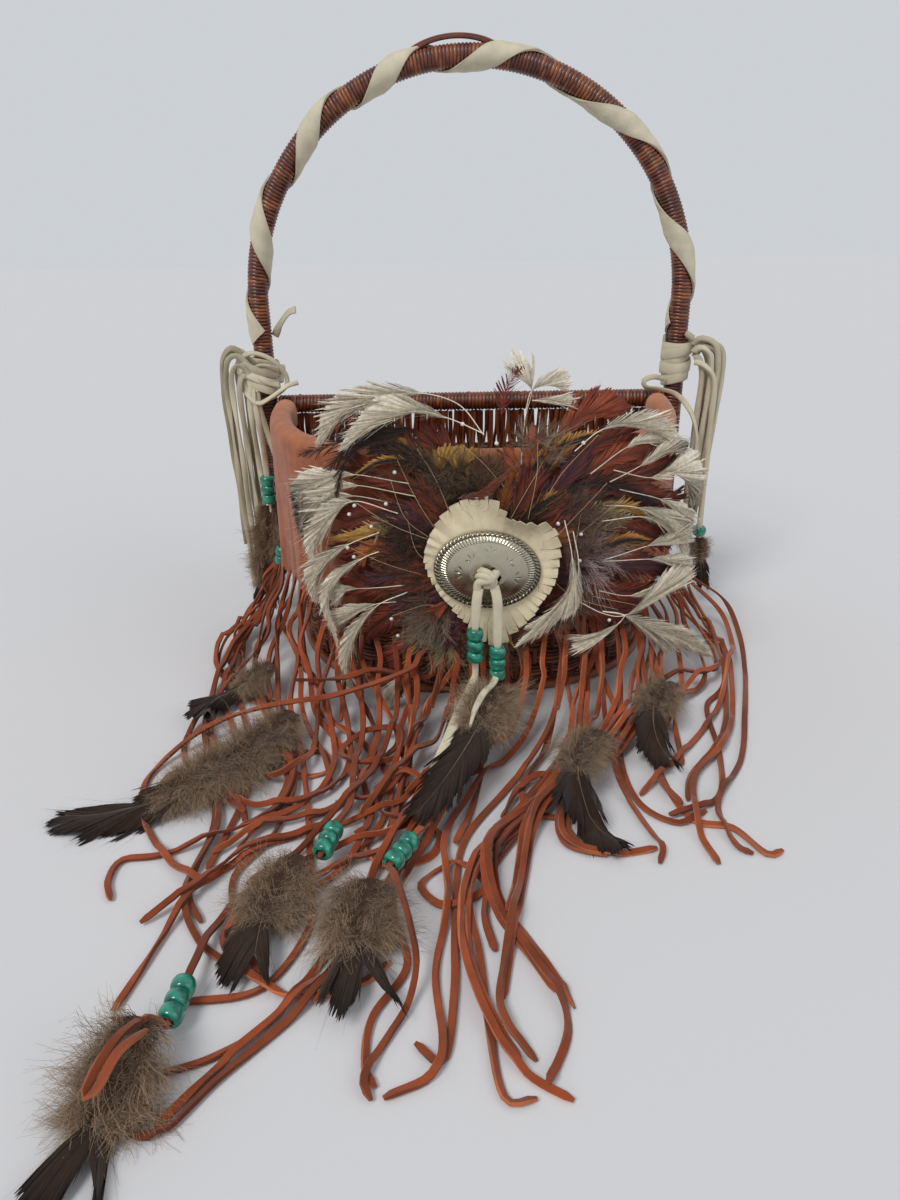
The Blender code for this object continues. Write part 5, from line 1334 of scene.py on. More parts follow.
# Feathers of the spray, from back to front: kind, lift, width, the point at which the
# barbs start, and x and z points from the quill's root to the tip.
PLUMES = [
    ("rust", 1.5, 15, 0, [(-23, 127), (-38, 135), (-54, 141), (-65, 144)]),
    ("rust", 2.0, 15, 0, [(-26, 119), (-41, 120), (-58, 117), (-69, 113)]),
    ("rust", 1.2, 15, 0, [(-26, 110), (-42, 104), (-59, 100), (-71, 101)]),
    ("rust", 1.6, 14, 0, [(-20, 136), (-31, 148), (-45, 156), (-59, 157)]),
    ("stripe", 2.4, 9, 0, [(-20, 142), (-32, 152), (-44, 156), (-56, 151)]),
    ("rust", 1.2, 14, 0, [(-27, 84), (-40, 80), (-57, 78), (-70, 81)]),
    ("rust", 1.6, 13, 0, [(-24, 75), (-39, 66), (-54, 55), (-61, 48)]),
    ("rust", 1.0, 13, 0, [(-21, 96), (-37, 94), (-53, 94), (-68, 89)]),
    ("dark", 2.2, 12, 0, [(-26, 96), (-37, 97), (-45, 104), (-49, 111)]),
    ("rust", 1.4, 13, 0, [(-16, 65), (-27, 51), (-39, 41), (-47, 27)]),
    ("rust", 1.2, 12, 0, [(-2, 135), (-10, 146), (-20, 155), (-27, 162)]),
    ("bright", 3.2, 14, 0, [(36, 154), (45, 165), (55, 170), (70, 168)]),
    ("rust", 1.4, 13, 0, [(39, 141), (50, 148), (63, 155), (77, 158)]),
    ("bright", 2.2, 13, 0, [(49, 135), (63, 143), (79, 147), (97, 145)]),
    ("rust", 2.8, 9, 0, [(62, 132), (79, 134), (93, 137), (107, 140)]),
    ("rust", 1.6, 13, 0, [(56, 132), (75, 128), (93, 121), (110, 116)]),
    ("rust", 1.2, 14, 0, [(54, 121), (70, 117), (85, 111), (104, 102)]),
    ("rust", 1.4, 13, 0, [(57, 109), (71, 108), (86, 102), (105, 93)]),
    ("rust", 1.3, 13, 0, [(52, 92), (69, 89), (90, 82), (113, 75)]),
    ("maroon", 2.6, 9, 0, [(66, 84), (84, 83), (99, 80), (118, 72)]),
    ("rust", 1.2, 13, 0, [(51, 78), (67, 71), (82, 67), (101, 65)]),
    ("rust", 1.6, 12, 0, [(46, 73), (59, 63), (71, 58), (86, 56)]),
    ("rust", 1.2, 12, 0, [(40, 122), (53, 129), (66, 136), (80, 140)]),
    ("maroon", 3.4, 11, 0, [(32, 123), (39, 132), (46, 141), (50, 149)]),
    ("stripe", 3.4, 6, 0, [(31, 138), (39, 151), (49, 157), (61, 160)]),
    ("stripe", 3.8, 7, 0, [(28, 135), (34, 145), (40, 154), (45, 160)]),
    ("stripe", 4.2, 6, 0, [(24, 136), (28, 145), (33, 153), (37, 159)]),
    ("petal", 4.2, 8, 0, [(24, 139), (25, 149), (26, 156), (28, 160)]),
    ("petal", 3.8, 7, 0, [(32, 141), (34, 149), (35, 153), (37, 155)]),
    ("petal", 4.4, 6, 0, [(22, 139), (18, 145), (16, 149), (13, 152)]),
    ("black", 4.0, 8, 0, [(43, 131), (59, 133), (79, 127), (101, 110)]),
    ("stripe", 3.0, 9, 0, [(50, 96), (63, 98), (77, 98), (92, 96)]),
    ("stripe", 3.6, 8, 0, [(52, 93), (64, 96), (77, 99), (90, 97)]),
    ("gold", 3.4, 8, 0, [(51, 116), (64, 118), (78, 117), (95, 107)]),
    ("dusty", 4.6, 10, 0, [(45, 112), (56, 116), (67, 116), (80, 112)]),
    ("dusty", 4.6, 10, 0, [(47, 103), (58, 107), (69, 109), (81, 113)]),
    ("black", 4.6, 9, 0, [(-10, 132), (-23, 143), (-36, 151), (-54, 154)]),
    ("stripe", 5.0, 6, 0, [(-15, 135), (-30, 146), (-47, 148), (-65, 138)]),
    ("gold", 3.4, 9, 0, [(-20, 138), (-19, 146), (-15, 150), (-10, 153)]),
    ("gold", 3.0, 9, 0, [(-10, 137), (-10, 143), (-8, 147), (-3, 151)]),
    ("dusty", 4.0, 9, 0, [(-26, 114), (-39, 115), (-51, 113), (-63, 108)]),
    ("gold", 4.2, 8, 0, [(-37, 105), (-50, 109), (-65, 106), (-78, 103)]),
    ("amber", 3.6, 10, 0, [(-38, 101), (-48, 101), (-56, 99), (-62, 90)]),
    ("maroon", 3.2, 8, 0, [(-19, 122), (-28, 122), (-36, 122), (-41, 120)]),
    ("red", 8.5, 5, 0, [(-11, 130), (-2, 132), (7, 138), (15, 145)]),
    ("stripe", 5.6, 7, 0, [(-24, 56), (-32, 43), (-38, 30), (-45, 8)]),
    ("maroon", 3.6, 8, 0, [(45, 81), (54, 81), (61, 84), (65, 90)]),
    ("rust", 3.2, 8, 0, [(47, 75), (55, 75), (64, 73), (74, 71)]),
    ("black", 6.2, 9, 0, [(-33, 166), (-50, 164), (-67, 158), (-90, 149)]),
    ("black", 6.8, 9, 0, [(-34, 165), (-52, 161), (-67, 152), (-79, 136)]),
    ("black", 7.2, 8, 0, [(-37, 162), (-54, 158), (-66, 147), (-72, 129)]),
    ("cream", 9.1, 15, 2, [(2, 163), (-9, 178), (-25, 184), (-42, 183), (-62, 175), (-79, 157)]),
    ("cream", 10.5, 13, 1, [(2, 164), (-14, 172), (-30, 176), (-49, 169), (-67, 155)]),
    ("grizzle", 5.7, 14, 1, [(-32, 130), (-60, 135), (-74, 131), (-87, 121), (-94, 107)]),
    ("grizzle", 6.4, 13, 1, [(-35, 137), (-61, 141), (-76, 138), (-88, 130), (-93, 116)]),
    ("cream", 7.5, 14, 1, [(-41, 121), (-62, 127), (-73, 119), (-83, 105), (-87, 91)]),
    ("grizzle", 5.2, 13, 1, [(-39, 125), (-63, 129), (-77, 125), (-88, 112), (-92, 103)]),
    ("cream", 8.0, 13, 1, [(-51, 110), (-66, 103), (-77, 94), (-84, 82), (-88, 67)]),
    ("cream", 10.3, 8, 1, [(-51, 100), (-59, 96), (-71, 86), (-79, 70), (-76, 41)]),
    ("cream", 6.8, 12, 1, [(-39, 80), (-63, 77), (-69, 76), (-73, 71)]),
    ("cream", 11.4, 10, 1, [(-37, 78), (-53, 69), (-65, 52), (-71, 29), (-64, 5)]),
    ("cream", 5.7, 12, 1, [(-38, 70), (-54, 68), (-66, 62), (-80, 51)]),
    ("cream", 6.8, 9, 0, [(-39, 30), (-44, 22), (-48, 13), (-55, 4)]),
    ("cream", 7.1, 12, 1, [(47, 152), (59, 162), (73, 164), (90, 158), (106, 144)]),
    ("grizzle", 6.2, 10, 1, [(56, 139), (72, 151), (84, 154), (97, 151), (107, 145)]),
    ("grizzle", 7.5, 10, 1, [(66, 134), (80, 141), (91, 147), (106, 149)]),
    ("grizzle", 6.8, 14, 1, [(68, 140), (87, 134), (97, 136), (108, 129), (113, 114)]),
    ("grizzle", 6.4, 12, 1, [(72, 129), (94, 121), (105, 112), (114, 96)]),
    ("cream", 8.4, 12, 1, [(63, 122), (80, 119), (96, 110), (113, 88)]),
    ("cream", 7.8, 11, 1, [(63, 113), (84, 113), (99, 104), (112, 87)]),
    ("cream", 8.7, 12, 1, [(65, 91), (86, 96), (98, 97), (111, 99)]),
    ("cream", 8.0, 12, 1, [(64, 90), (89, 88), (101, 84), (114, 78)]),
    ("grizzle", 6.8, 11, 1, [(64, 72), (80, 67), (96, 69), (113, 73)]),
    ("cream", 9.8, 16, 2, [(50, 70), (65, 60), (77, 57), (90, 64), (114, 74)]),
    ("cream", 10.7, 17, 1, [(65, 61), (77, 57), (93, 47), (112, 34), (134, 16)]),
    ("cream", 9.1, 12, 1, [(79, 56), (75, 52), (65, 48), (53, 45)]),
    ("cream", 10.3, 13, 1, [(65, 61), (77, 57), (92, 44), (106, 27)]),
    ("cream", 14.4, 11, 1, [(41, 118), (45, 99), (45, 82), (34, 64), (19, 48)]),
    ("cream", 13.2, 10, 1, [(46, 111), (49, 93), (47, 78), (35, 65), (24, 58)]),
    ("upright", 4.0, 8, 0, [(11, 172), (12, 182), (16, 190), (22, 195)]),
    ("cream", 4.0, 9, 2, [(21, 146), (22, 169), (25, 183), (22, 188), (21, 192)]),
    ("cream", 3.6, 8, 1, [(23, 174), (25, 183), (32, 186), (40, 184)]),
    ("cream", 3.2, 7, 0, [(26, 178), (33, 178), (39, 177), (46, 174)]),
]


def feather_line(route, lift, rise=2.5):
    """The line of a spray feather: it stands off the spray more towards its tip."""
    flat = smooth_route([(x, z, 0) for x, z in route], 1.6)
    f = np.linspace(0, 1, len(flat))
    lifts = lift + rise * np.sin(math.pi * f * 0.75)
    return spray_at(flat[:, 0], flat[:, 1], lifts)


def under_feathers():
    """Short feathers that fan out from under the rosette, below the ones that were traced."""
    chance = random.Random(19)
    cx, cz = SPRAY_CENTRE
    count = 74
    for k in range(count):
        angle = 2 * math.pi * (k + chance.uniform(-0.4, 0.4)) / count
        c, s = math.cos(angle), math.sin(angle)
        wide, tall = (84 if c > 0 else 66), (60 if s > 0 else 46)
        edge = 1 / math.hypot(c / wide, s / tall)
        root = chance.uniform(18, 30)
        tip = root + min(chance.uniform(24, 44), edge * chance.uniform(0.84, 1.0) - root)
        sway = chance.uniform(-0.16, 0.16)
        route = []
        for f in (0, 0.35, 0.7, 1):
            r, a = root + (tip - root) * f, angle + sway * f * f
            route.append((cx + r * math.cos(a), cz + r * math.sin(a)))
        kinds = ("rust", "rust", "rust", "dark", "maroon", "bright", "stripe", "amber")
        yield chance.choice(kinds), chance.uniform(1.6, 4.6), chance.uniform(7, 12), 0, route


def make_plumes():
    """The single feathers, gathered by the frame piece that they stand for."""
    groups = {"rust": Work(), "gold": Work(), "dark": Work(), "cream": Work()}
    slots = {"rust": "rust", "bright": "rust", "petal": "rust", "maroon": "rust", "red": "rust",
             "upright": "rust", "stripe": "gold", "gold": "gold", "amber": "gold", "dusty": "gold",
             "black": "dark", "dark": "dark", "cream": "cream", "grizzle": "cream"}
    for k, (kind, lift, width, skip, route) in enumerate([*under_feathers(), *PLUMES]):
        line, out = feather_line(route, lift)
        steps = [math.dist(a, b) for a, b in zip(route, route[1:])]
        start = sum(steps[:skip]) / sum(steps)
        wide = 1.4 if kind == "upright" else 1.05
        plume(groups[slots[kind]], line, out, width * wide, kind, 100 + k, start=start,
              shaft=0.32 if slots[kind] == "cream" else 0.36)
    nodes = {"rust": ["rust_feathers_left", "rust_feathers_right", "rust_feathers_top",
                      "upright_feather"],
             "gold": ["gold_feathers_top"],
             "dark": ["dark_feathers_left"],
             "cream": ["cream_feathers_left", "cream_feathers_lower", "cream_feathers_upper_right",
                       "cream_feathers_right", "top_cream_feather", "curved_hackle"]}
    for name, work in groups.items():
        work.piece(f"{name}_plumes", FEATHER, slot=f"{name}_feather", nodes=nodes[name],
                   smooth=False)


# Tufts of down in the spray: x and z, spread across and up, strand length, tones at the root
# and the tip, and how many strands.
TUFTS = [
    (-6, 138, 30, 14, 14, (58, 44, 34), (128, 104, 80), 2000),
    (-12, 132, 20, 10, 12, (44, 34, 28), (92, 74, 58), 900),
    (28, 152, 14, 9, 12, (88, 74, 62), (164, 146, 126), 700),
    (-36, 106, 16, 32, 13, (40, 30, 25), (88, 68, 54), 1500),
    (48, 114, 18, 26, 14, (62, 46, 40), (124, 102, 90), 1400),
    (60, 88, 18, 16, 14, (104, 80, 78), (188, 170, 164), 800),
    (44, 66, 16, 14, 12, (70, 54, 46), (130, 108, 92), 600),
    (-24, 60, 18, 18, 17, (74, 60, 50), (158, 142, 124), 1300),
    (-30, 78, 12, 14, 13, (50, 38, 31), (106, 86, 70), 700),
    (6, 52, 26, 8, 15, (66, 50, 40), (134, 114, 94), 800),
    (-18, 44, 8, 10, 18, (120, 100, 76), (190, 170, 130), 260),
    (-32, 150, 12, 9, 13, (52, 38, 30), (96, 76, 60), 500),
]


def ring_of_down(work, chance, count, far, squash, lift, outward, length, tints, seed, **more):
    """Strands that grow outwards from a ring round the rosette."""
    cx, cz = SPRAY_CENTRE
    angle = chance.uniform(0, 2 * math.pi, count)
    reach = chance.uniform(*far, count)
    x, z = cx + reach * np.cos(angle), cz + 3 + reach * np.sin(angle) * squash
    spots, out = spray_at(x, z, chance.uniform(*lift, count))
    radial = np.stack([np.cos(angle), 0 * angle, np.sin(angle)], -1)
    down(work, spots, unit(radial + out * outward), out, length, tints, seed, **more)


def make_spray_down():
    """Brown and grey down in tufts round the rosette, and long dark hairs over it."""
    chance = np.random.default_rng(21)
    work = Work()
    cx, cz = SPRAY_CENTRE
    mound(work, 36, 34)
    for k, (tx, tz, wide, tall, size, root, tip, amount) in enumerate(TUFTS):
        many = amount // WISP
        x = wisps(tx + wide / 2 * np.clip(chance.normal(0, 0.5, many), -1.2, 1.2), 0.5, chance)
        z = wisps(tz + tall / 2 * np.clip(chance.normal(0, 0.5, many), -1.2, 1.2), 0.5, chance)
        spots, out = spray_at(x, z, wisps(chance.uniform(2.0, 6.0, many), 0.3, chance))
        radial = unit(np.stack([x - cx, 0 * x, z - cz], -1))
        local = unit(np.stack([x - tx, 0 * x, z - tz], -1))
        outward = wisps(chance.uniform(0.1, 0.5, (many, 1)), 0.05, chance)
        way = unit(radial * 0.8 + local * 0.5 + out * outward)
        middle = [(a + b) / 2 for a, b in zip(root, tip)]
        tints = [(0, rgb(*root)), (0.5, rgb(*middle)), (1, rgb(*tip))]
        down(work, spots, way, out, size * MM, tints, 500 + k, curl=0.10)
    tints = [(0, rgb(46, 33, 26)), (0.5, rgb(72, 52, 40)), (1, rgb(104, 80, 62))]
    ring_of_down(work, chance, 1500, (20, 33), 0.92, (1.0, 5.0), 0.22, 0.014, tints, 22)
    tints = [(0, rgb(34, 24, 20)), (1, rgb(58, 38, 30))]
    ring_of_down(work, chance, 260, (22, 50), 0.85, (5.0, 8.0), 0.05, 0.024, tints, 23,
                 breadth=0.15, curl=0.01, droop=0.12)
    work.piece("brown_down", DOWN, slot="dark_feather", nodes=["down_pad"], smooth=False)


def mound(work, wide, tall):
    """A low ring of matted down that the loose strands grow from."""
    rows, tints = [], []
    cx, cz = SPRAY_CENTRE
    for reach, lift in ((0.35, 0.8), (0.6, 2.4), (0.78, 3.0), (0.92, 2.2), (1.0, 0.9)):
        angle = 2 * math.pi * np.arange(96) / 96
        edge = reach * (1 + 0.05 * np.sin(5 * angle) + 0.04 * np.sin(13 * angle + 1))
        x, z = cx + wide * edge * np.cos(angle), cz + 3 + tall * edge * np.sin(angle)
        rows.append(spray_at(x, z, lift + 0.5 * np.sin(9 * angle + 7 * reach))[0])
        tints.append(np.outer(0.85 + 0.15 * np.sin(17 * angle), rgb(58, 43, 33)))
    work.grid(rows, np.array(tints), closed=True)


def make_filaments():
    """Bare quills and threads across the spray, some with a small clear bead."""
    chance = random.Random(31)
    quills, beads = Work(), Work()
    for a, b, c in (((-36, 118), (-28, 104), (-20, 92)), ((-44, 140), (-34, 122), (-24, 108)),
                    ((-40, 150), (-30, 130), (-21, 112)), ((-30, 156), (-22, 138), (-14, 120)),
                    ((58, 160), (44, 146), (32, 128)), ((64, 134), (48, 118), (36, 104)),
                    ((74, 126), (60, 116), (48, 106)), ((28, 158), (26, 140), (24, 118)),
                    ((51, 118), (51, 100), (50, 84)), ((30, 146), (18, 126), (12, 112)),
                    ((60, 70), (78, 62), (90, 58)), ((36, 84), (52, 74), (74, 60)),
                    ((-8, 158), (2, 148), (12, 136)), ((-62, 126), (-44, 116), (-26, 108)),
                    ((-66, 100), (-48, 94), (-30, 88)), ((-46, 62), (-34, 66), (-24, 70))):
        bow = chance.uniform(-3.5, 3.5)
        route = [a, (b[0] + bow, b[1] + bow), c]
        line, _ = feather_line(route, 8.5, 1.5)
        tube(quills, line, 0.00013, rgb(190, 166, 128), 5)
    dark = [spray_at(x, z, 9.0)[0] for x, z in ((-39, 118), (-40, 90), (-39, 64), (-40, 44))]
    tube(quills, smooth_route(dark, 0.004), 0.0002, rgb(30, 22, 20), 5)
    quills.piece("bare_quills", FEATHER, slot="cream_feather")
    for x, z in ((-8, 169), (8, 159), (-41, 144), (-46, 127), (-62, 125), (-65, 120), (-54, 114),
                 (-67, 101), (-64, 96), (-64, 92), (-46, 61), (-43, 51), (50, 157), (39, 115),
                 (51, 108), (51, 93), (69, 55)):
        clear_bead(beads, spray_at(x, z, 10.6)[0], chance)
    beads.piece("clear_beads", CLEAR_BEAD, slot="cream_feather")


def clear_bead(work, centre, chance):
    """A small faceted bead, 2.2 mm across."""
    axis = unit(np.array((chance.uniform(-1, 1), 0.2, chance.uniform(-1, 1))))
    side = unit(np.cross(axis, (0, 1, 0)))
    third = np.cross(axis, side)
    rings = []
    for r, h in ((0.3, -1.0), (0.85, -0.75), (1.1, 0.0), (0.85, 0.75), (0.3, 1.0)):
        ring = [centre + (side * math.cos(a) + third * math.sin(a)) * r * MM + axis * h * MM
                for a in (2 * math.pi * k / 8 for k in range(8))]
        rings.append(ring)
    work.grid(rings, rgb(226, 222, 216), closed=True, caps=True)


# Beads

def bead(work, centre, way, chance, size=1.0):
    """A pony bead: a fat glass ring with a swirl in its colour."""
    way = unit(np.asarray(way, float))
    side = unit(np.cross(way, (0.3, 1.0, 0.2)))
    third = np.cross(way, side)
    half = BEAD_LENGTH / 2 * size
    profile = []
    for k in range(11):
        a = math.pi * k / 10
        reach = BEAD_HOLE_R + (BEAD_R - BEAD_HOLE_R) * (0.10 + 0.90 * math.sin(a) ** 0.62)
        profile.append((reach, -half * math.cos(a)))
    profile += [(BEAD_HOLE_R, half * 0.86), (BEAD_HOLE_R, -half * 0.86)]
    rings, tints = [], []
    swirl, level = chance.uniform(0, 6.3), chance.uniform(0.85, 1.15)
    for k in range(26):
        a = 2 * math.pi * k / 26
        out = side * math.cos(a) + third * math.sin(a)
        rings.append([centre + out * r * size + way * h for r, h in profile])
        row = []
        for j in range(len(profile)):
            wave = 0.5 + 0.5 * math.sin(a * 2 + j * 0.9 + swirl + 0.8 * math.sin(a * 3 + swirl))
            row.append(mix(rgb(16, 98, 86), rgb(44, 150, 122), wave) * level)
        tints.append(row)
    rings.append(rings[0])
    tints.append(tints[0])
    work.grid(rings, np.array(tints), closed=True)


def bead_run(name, start, way, count, body, seed, nodes=(), gap=0.0):
    """Beads one after another from a start point."""
    chance = random.Random(seed)
    way = unit(np.asarray(way, float))
    work = Work()
    for k in range(count):
        tilt = way + np.array([chance.gauss(0, 0.05) for _ in range(3)])
        centre = np.asarray(start, float) + way * (BEAD_LENGTH * (k + 0.5) + gap * k)
        bead(work, centre, tilt, chance, chance.uniform(0.97, 1.02))
    return work.piece(name, GLASS_BEAD, body=body, slot="bead", nodes=list(nodes))


def make_floor_beads(laces):
    """Beads at the ends of three laces and near the hem on another, by the lace they ride on."""
    riders = {}
    for seed, (u, name) in enumerate(BEADED_ENDS.items()):
        line = laces[u][1]
        way = unit(line[-1] - line[-8])
        start = line[-1] - way * (3 * BEAD_LENGTH + 0.0022)
        riders[u] = [bead_run(f"{name}_bead_run", start, way, 3, "basket", seed,
                              [f"{name}_beads"])]
    line = laces[LEFT_BEAD_LACE][1]
    way = unit(line[4] - line[0])
    riders[LEFT_BEAD_LACE] = [bead_run("left_lace_bead_run", line[0] + way * 0.0015, way, 2,
                                       "basket", 9, ["left_lace_beads"])]
    return riders


# Handle strip, knots and bundles

# How many turns the wound strip is ahead of even winding, at shares of its length.
UNEVEN_TURNS = ((0.02, 0.16, 0.30, 0.44, 0.58, 0.72, 0.86, 1.0),
                (0.18, 0.20, 0.18, 0.38, 0.38, 0.0, -0.20, -0.28))


def make_strip():
    """Flat leather wound round the hoop, from the left foot over the top to the right."""
    foot, turns, lead_turn, width = 0.188, 7.15, -0.15, 0.0142
    length = math.pi * HOOP_R + 2 * (HOOP_SPRING_Z - foot)
    inner, outer = HOOP_TUBE_R + 0.0003, HOOP_TUBE_R + 0.0019
    lead = math.atan2(2 * math.pi * outer * turns, length)
    count, cols = int(turns * 44), 9
    rings, tints = [], []
    for k in range(count + 1):
        f = k / count
        ahead = np.interp(f + np.array((-0.04, 0, 0.04)), *UNEVEN_TURNS).mean()
        sway = 0.0004 * math.sin(k * 0.13) + 0.0003 * math.sin(k * 0.31)
        row, shades = [], []
        for layer in (1, 0):
            order = np.linspace(-1, 1, cols) if layer else np.linspace(1, -1, cols)
            for w in order:
                reach = width / 2 * w + sway
                s = length * f + reach * math.sin(lead) + (foot - HOOP_FOOT_Z)
                turn = 2 * math.pi * (turns * f + lead_turn + ahead)
                turn = turn - reach * math.cos(lead) / outer
                middle, front, out = hoop_at(s)
                radial = front * math.cos(turn) + out * math.sin(turn)
                edge = abs(w) ** 6
                rise = 0.0002 * math.sin(k * 0.21 + w * 2) + 0.00012 * math.sin(k * 0.9 + 3 * w)
                lift = (outer + rise - 0.0005 * edge) if layer else inner
                row.append(middle + radial * lift)
                # Painted shade: the strip is darkened by 0.12 at its edges, where it turns down onto the hoop.
                fade = 1 - 0.12 * edge - 0.05 * (0.5 + 0.5 * math.sin(k * 0.17 + 4 * w))
                shades.append(IVORY * fade)
        rings.append(row)
        tints.append(shades)
    work = Work()
    work.grid(rings, np.array(tints), closed=True, caps=True)
    work.piece("wound_strip", CREAM, slot="cream_leather", nodes=["handle_strip"])


# The corners of a thong's section, as shares of half its width and half its thickness.
THONG_SECTION = [(-0.75, 0.9), (0, 1.05), (0.75, 0.9), (1, 0.35), (1, -0.35), (0.75, -0.9),
                 (0, -1.0), (-0.75, -0.9), (-1, -0.35), (-1, 0.35)]
WRAP_STEPS = 28


def flat_wrap(work, side, z0, z1, turns, width, radius, seed, tint):
    """A thong wound round a foot of the hoop, its turns overlapping unevenly."""
    count = int(turns * WRAP_STEPS)
    line, out = [], []
    for k in range(count + 1):
        a = 2 * math.pi * k / WRAP_STEPS + 0.5
        grow = radius + 0.0004 * math.sin(k * 0.37) + 0.0008 * (k % (2 * WRAP_STEPS) > WRAP_STEPS)
        z = z0 + (z1 - z0) * k / count + 0.0009 * math.sin(a * 1.5)
        line.append((side * (HOOP_R + grow * math.cos(a)), BACK_Y + grow * math.sin(a), z))
        out.append((side * math.cos(a), math.sin(a), 0))
    thong_along(work, np.array(line), np.array(out), width, 0.0018, tint, random.Random(seed))


def thong_along(work, line, face, width, thick, tint, chance, roll=0.0):
    """A leather thong with a given face direction at each point."""
    ways = tangents(line)
    face = square_to(ways, np.broadcast_to(face, line.shape))
    count = len(line)
    s = np.linspace(0, path_length(line), count)
    turn = roll * np.sin(s / 0.013 + chance.uniform(0, 6)) * np.clip(s / 0.01, 0, 1)
    face, across = rolled(face, np.cross(face, ways), turn)
    ring = section(line, across, face, np.broadcast_to(width, count) / 2,
                   np.broadcast_to(thick, count) / 2, THONG_SECTION)
    shade = 1 + 0.05 * np.sin(s / 0.009 + chance.uniform(0, 6))
    main = tint * shade[:, None]
    # Painted shade: the thong's two narrow sides are darkened to 0.76.
    tints = np.stack([main * (0.76 if abs(a) > 0.9 else 1.0) for a, _ in THONG_SECTION], 1)
    work.grid(ring, tints, closed=True, caps=True)


def thong(work, route, seed, width, thick=0.0016, tint=IVORY, roll=0.9):
    """A soft thong through points in millimetres, its face to the front."""
    line = smooth_route(in_metres(route), 0.0022)
    thong_along(work, line, (0.0, -1.0, 0.0), width, thick, tint, random.Random(seed), roll)


def make_knots():
    """The thongs knotted round the hoop's left foot, and those wound round its right one."""
    dull = mix(IVORY, rgb(184, 176, 152), 0.5)
    work = Work()
    flat_wrap(work, -1, 0.1548, 0.1735, 5.2, 0.0050, 0.0082, 51, dull)
    flat_wrap(work, -1, 0.1590, 0.1700, 2.1, 0.0042, 0.0108, 52, IVORY)
    thong(work, [(-146, 54, 163), (-142, 47, 168), (-134, 45, 172), (-126, 47, 170),
                 (-122, 54, 166)], 53, 0.0040)
    thong(work, [(-146, 52, 172), (-139, 45, 168), (-133, 44, 163), (-124, 48, 159)], 54, 0.0042,
          tint=dull)
    thong(work, [(-148, 47, 177), (-138, 45, 180), (-128, 47, 176), (-121, 50, 168),
                 (-119, 51, 160), (-123, 47, 155), (-131, 44, 151), (-139, 42, 148),
                 (-143, 43, 153), (-146, 45, 162)], 55, 0.0032, tint=dull)
    for k, low in enumerate((158.5, 163.5, 168.5)):
        thong(work, [(-150, 50, low + 5), (-144, 45, low + 4), (-137, 43.4, low + 1),
                     (-130, 45, low - 2), (-125, 51, low - 4)],
              153 + k, 0.0052, 0.0014, IVORY if k % 2 else dull, 0.3)
    thong(work, [(-148, 46, 160), (-142, 42, 152), (-136, 41, 149), (-128, 43, 153),
                 (-118, 46, 159), (-112, 50, 160)], 56, 0.0030)
    thong(work, [(-126, 62, 188), (-121, 57, 196), (-115, 54, 203), (-110, 53, 205)], 57, 0.0050,
          0.0014, dull)
    work.piece("left_knot_thongs", CREAM, slot="cream_leather", nodes=["left_knot"])
    work = Work()
    flat_wrap(work, 1, 0.1546, 0.1815, 4.4, 0.0078, 0.0080, 61, IVORY)
    flat_wrap(work, 1, 0.1700, 0.1790, 1.3, 0.0070, 0.0092, 62, IVORY)
    thong(work, [(126, 52, 158), (118, 49, 160), (112, 48, 158), (113, 47, 154), (121, 46, 153),
                 (132, 42, 150), (140, 35, 141), (144, 30, 128), (145, 28, 112)], 63, 0.0034,
          tint=dull)
    thong(work, [(143, 56, 183), (137, 52, 187), (146, 50, 179)], 64, 0.0034, tint=dull)
    work.piece("right_wrap_thongs", CREAM, slot="cream_leather", nodes=["right_binding"])


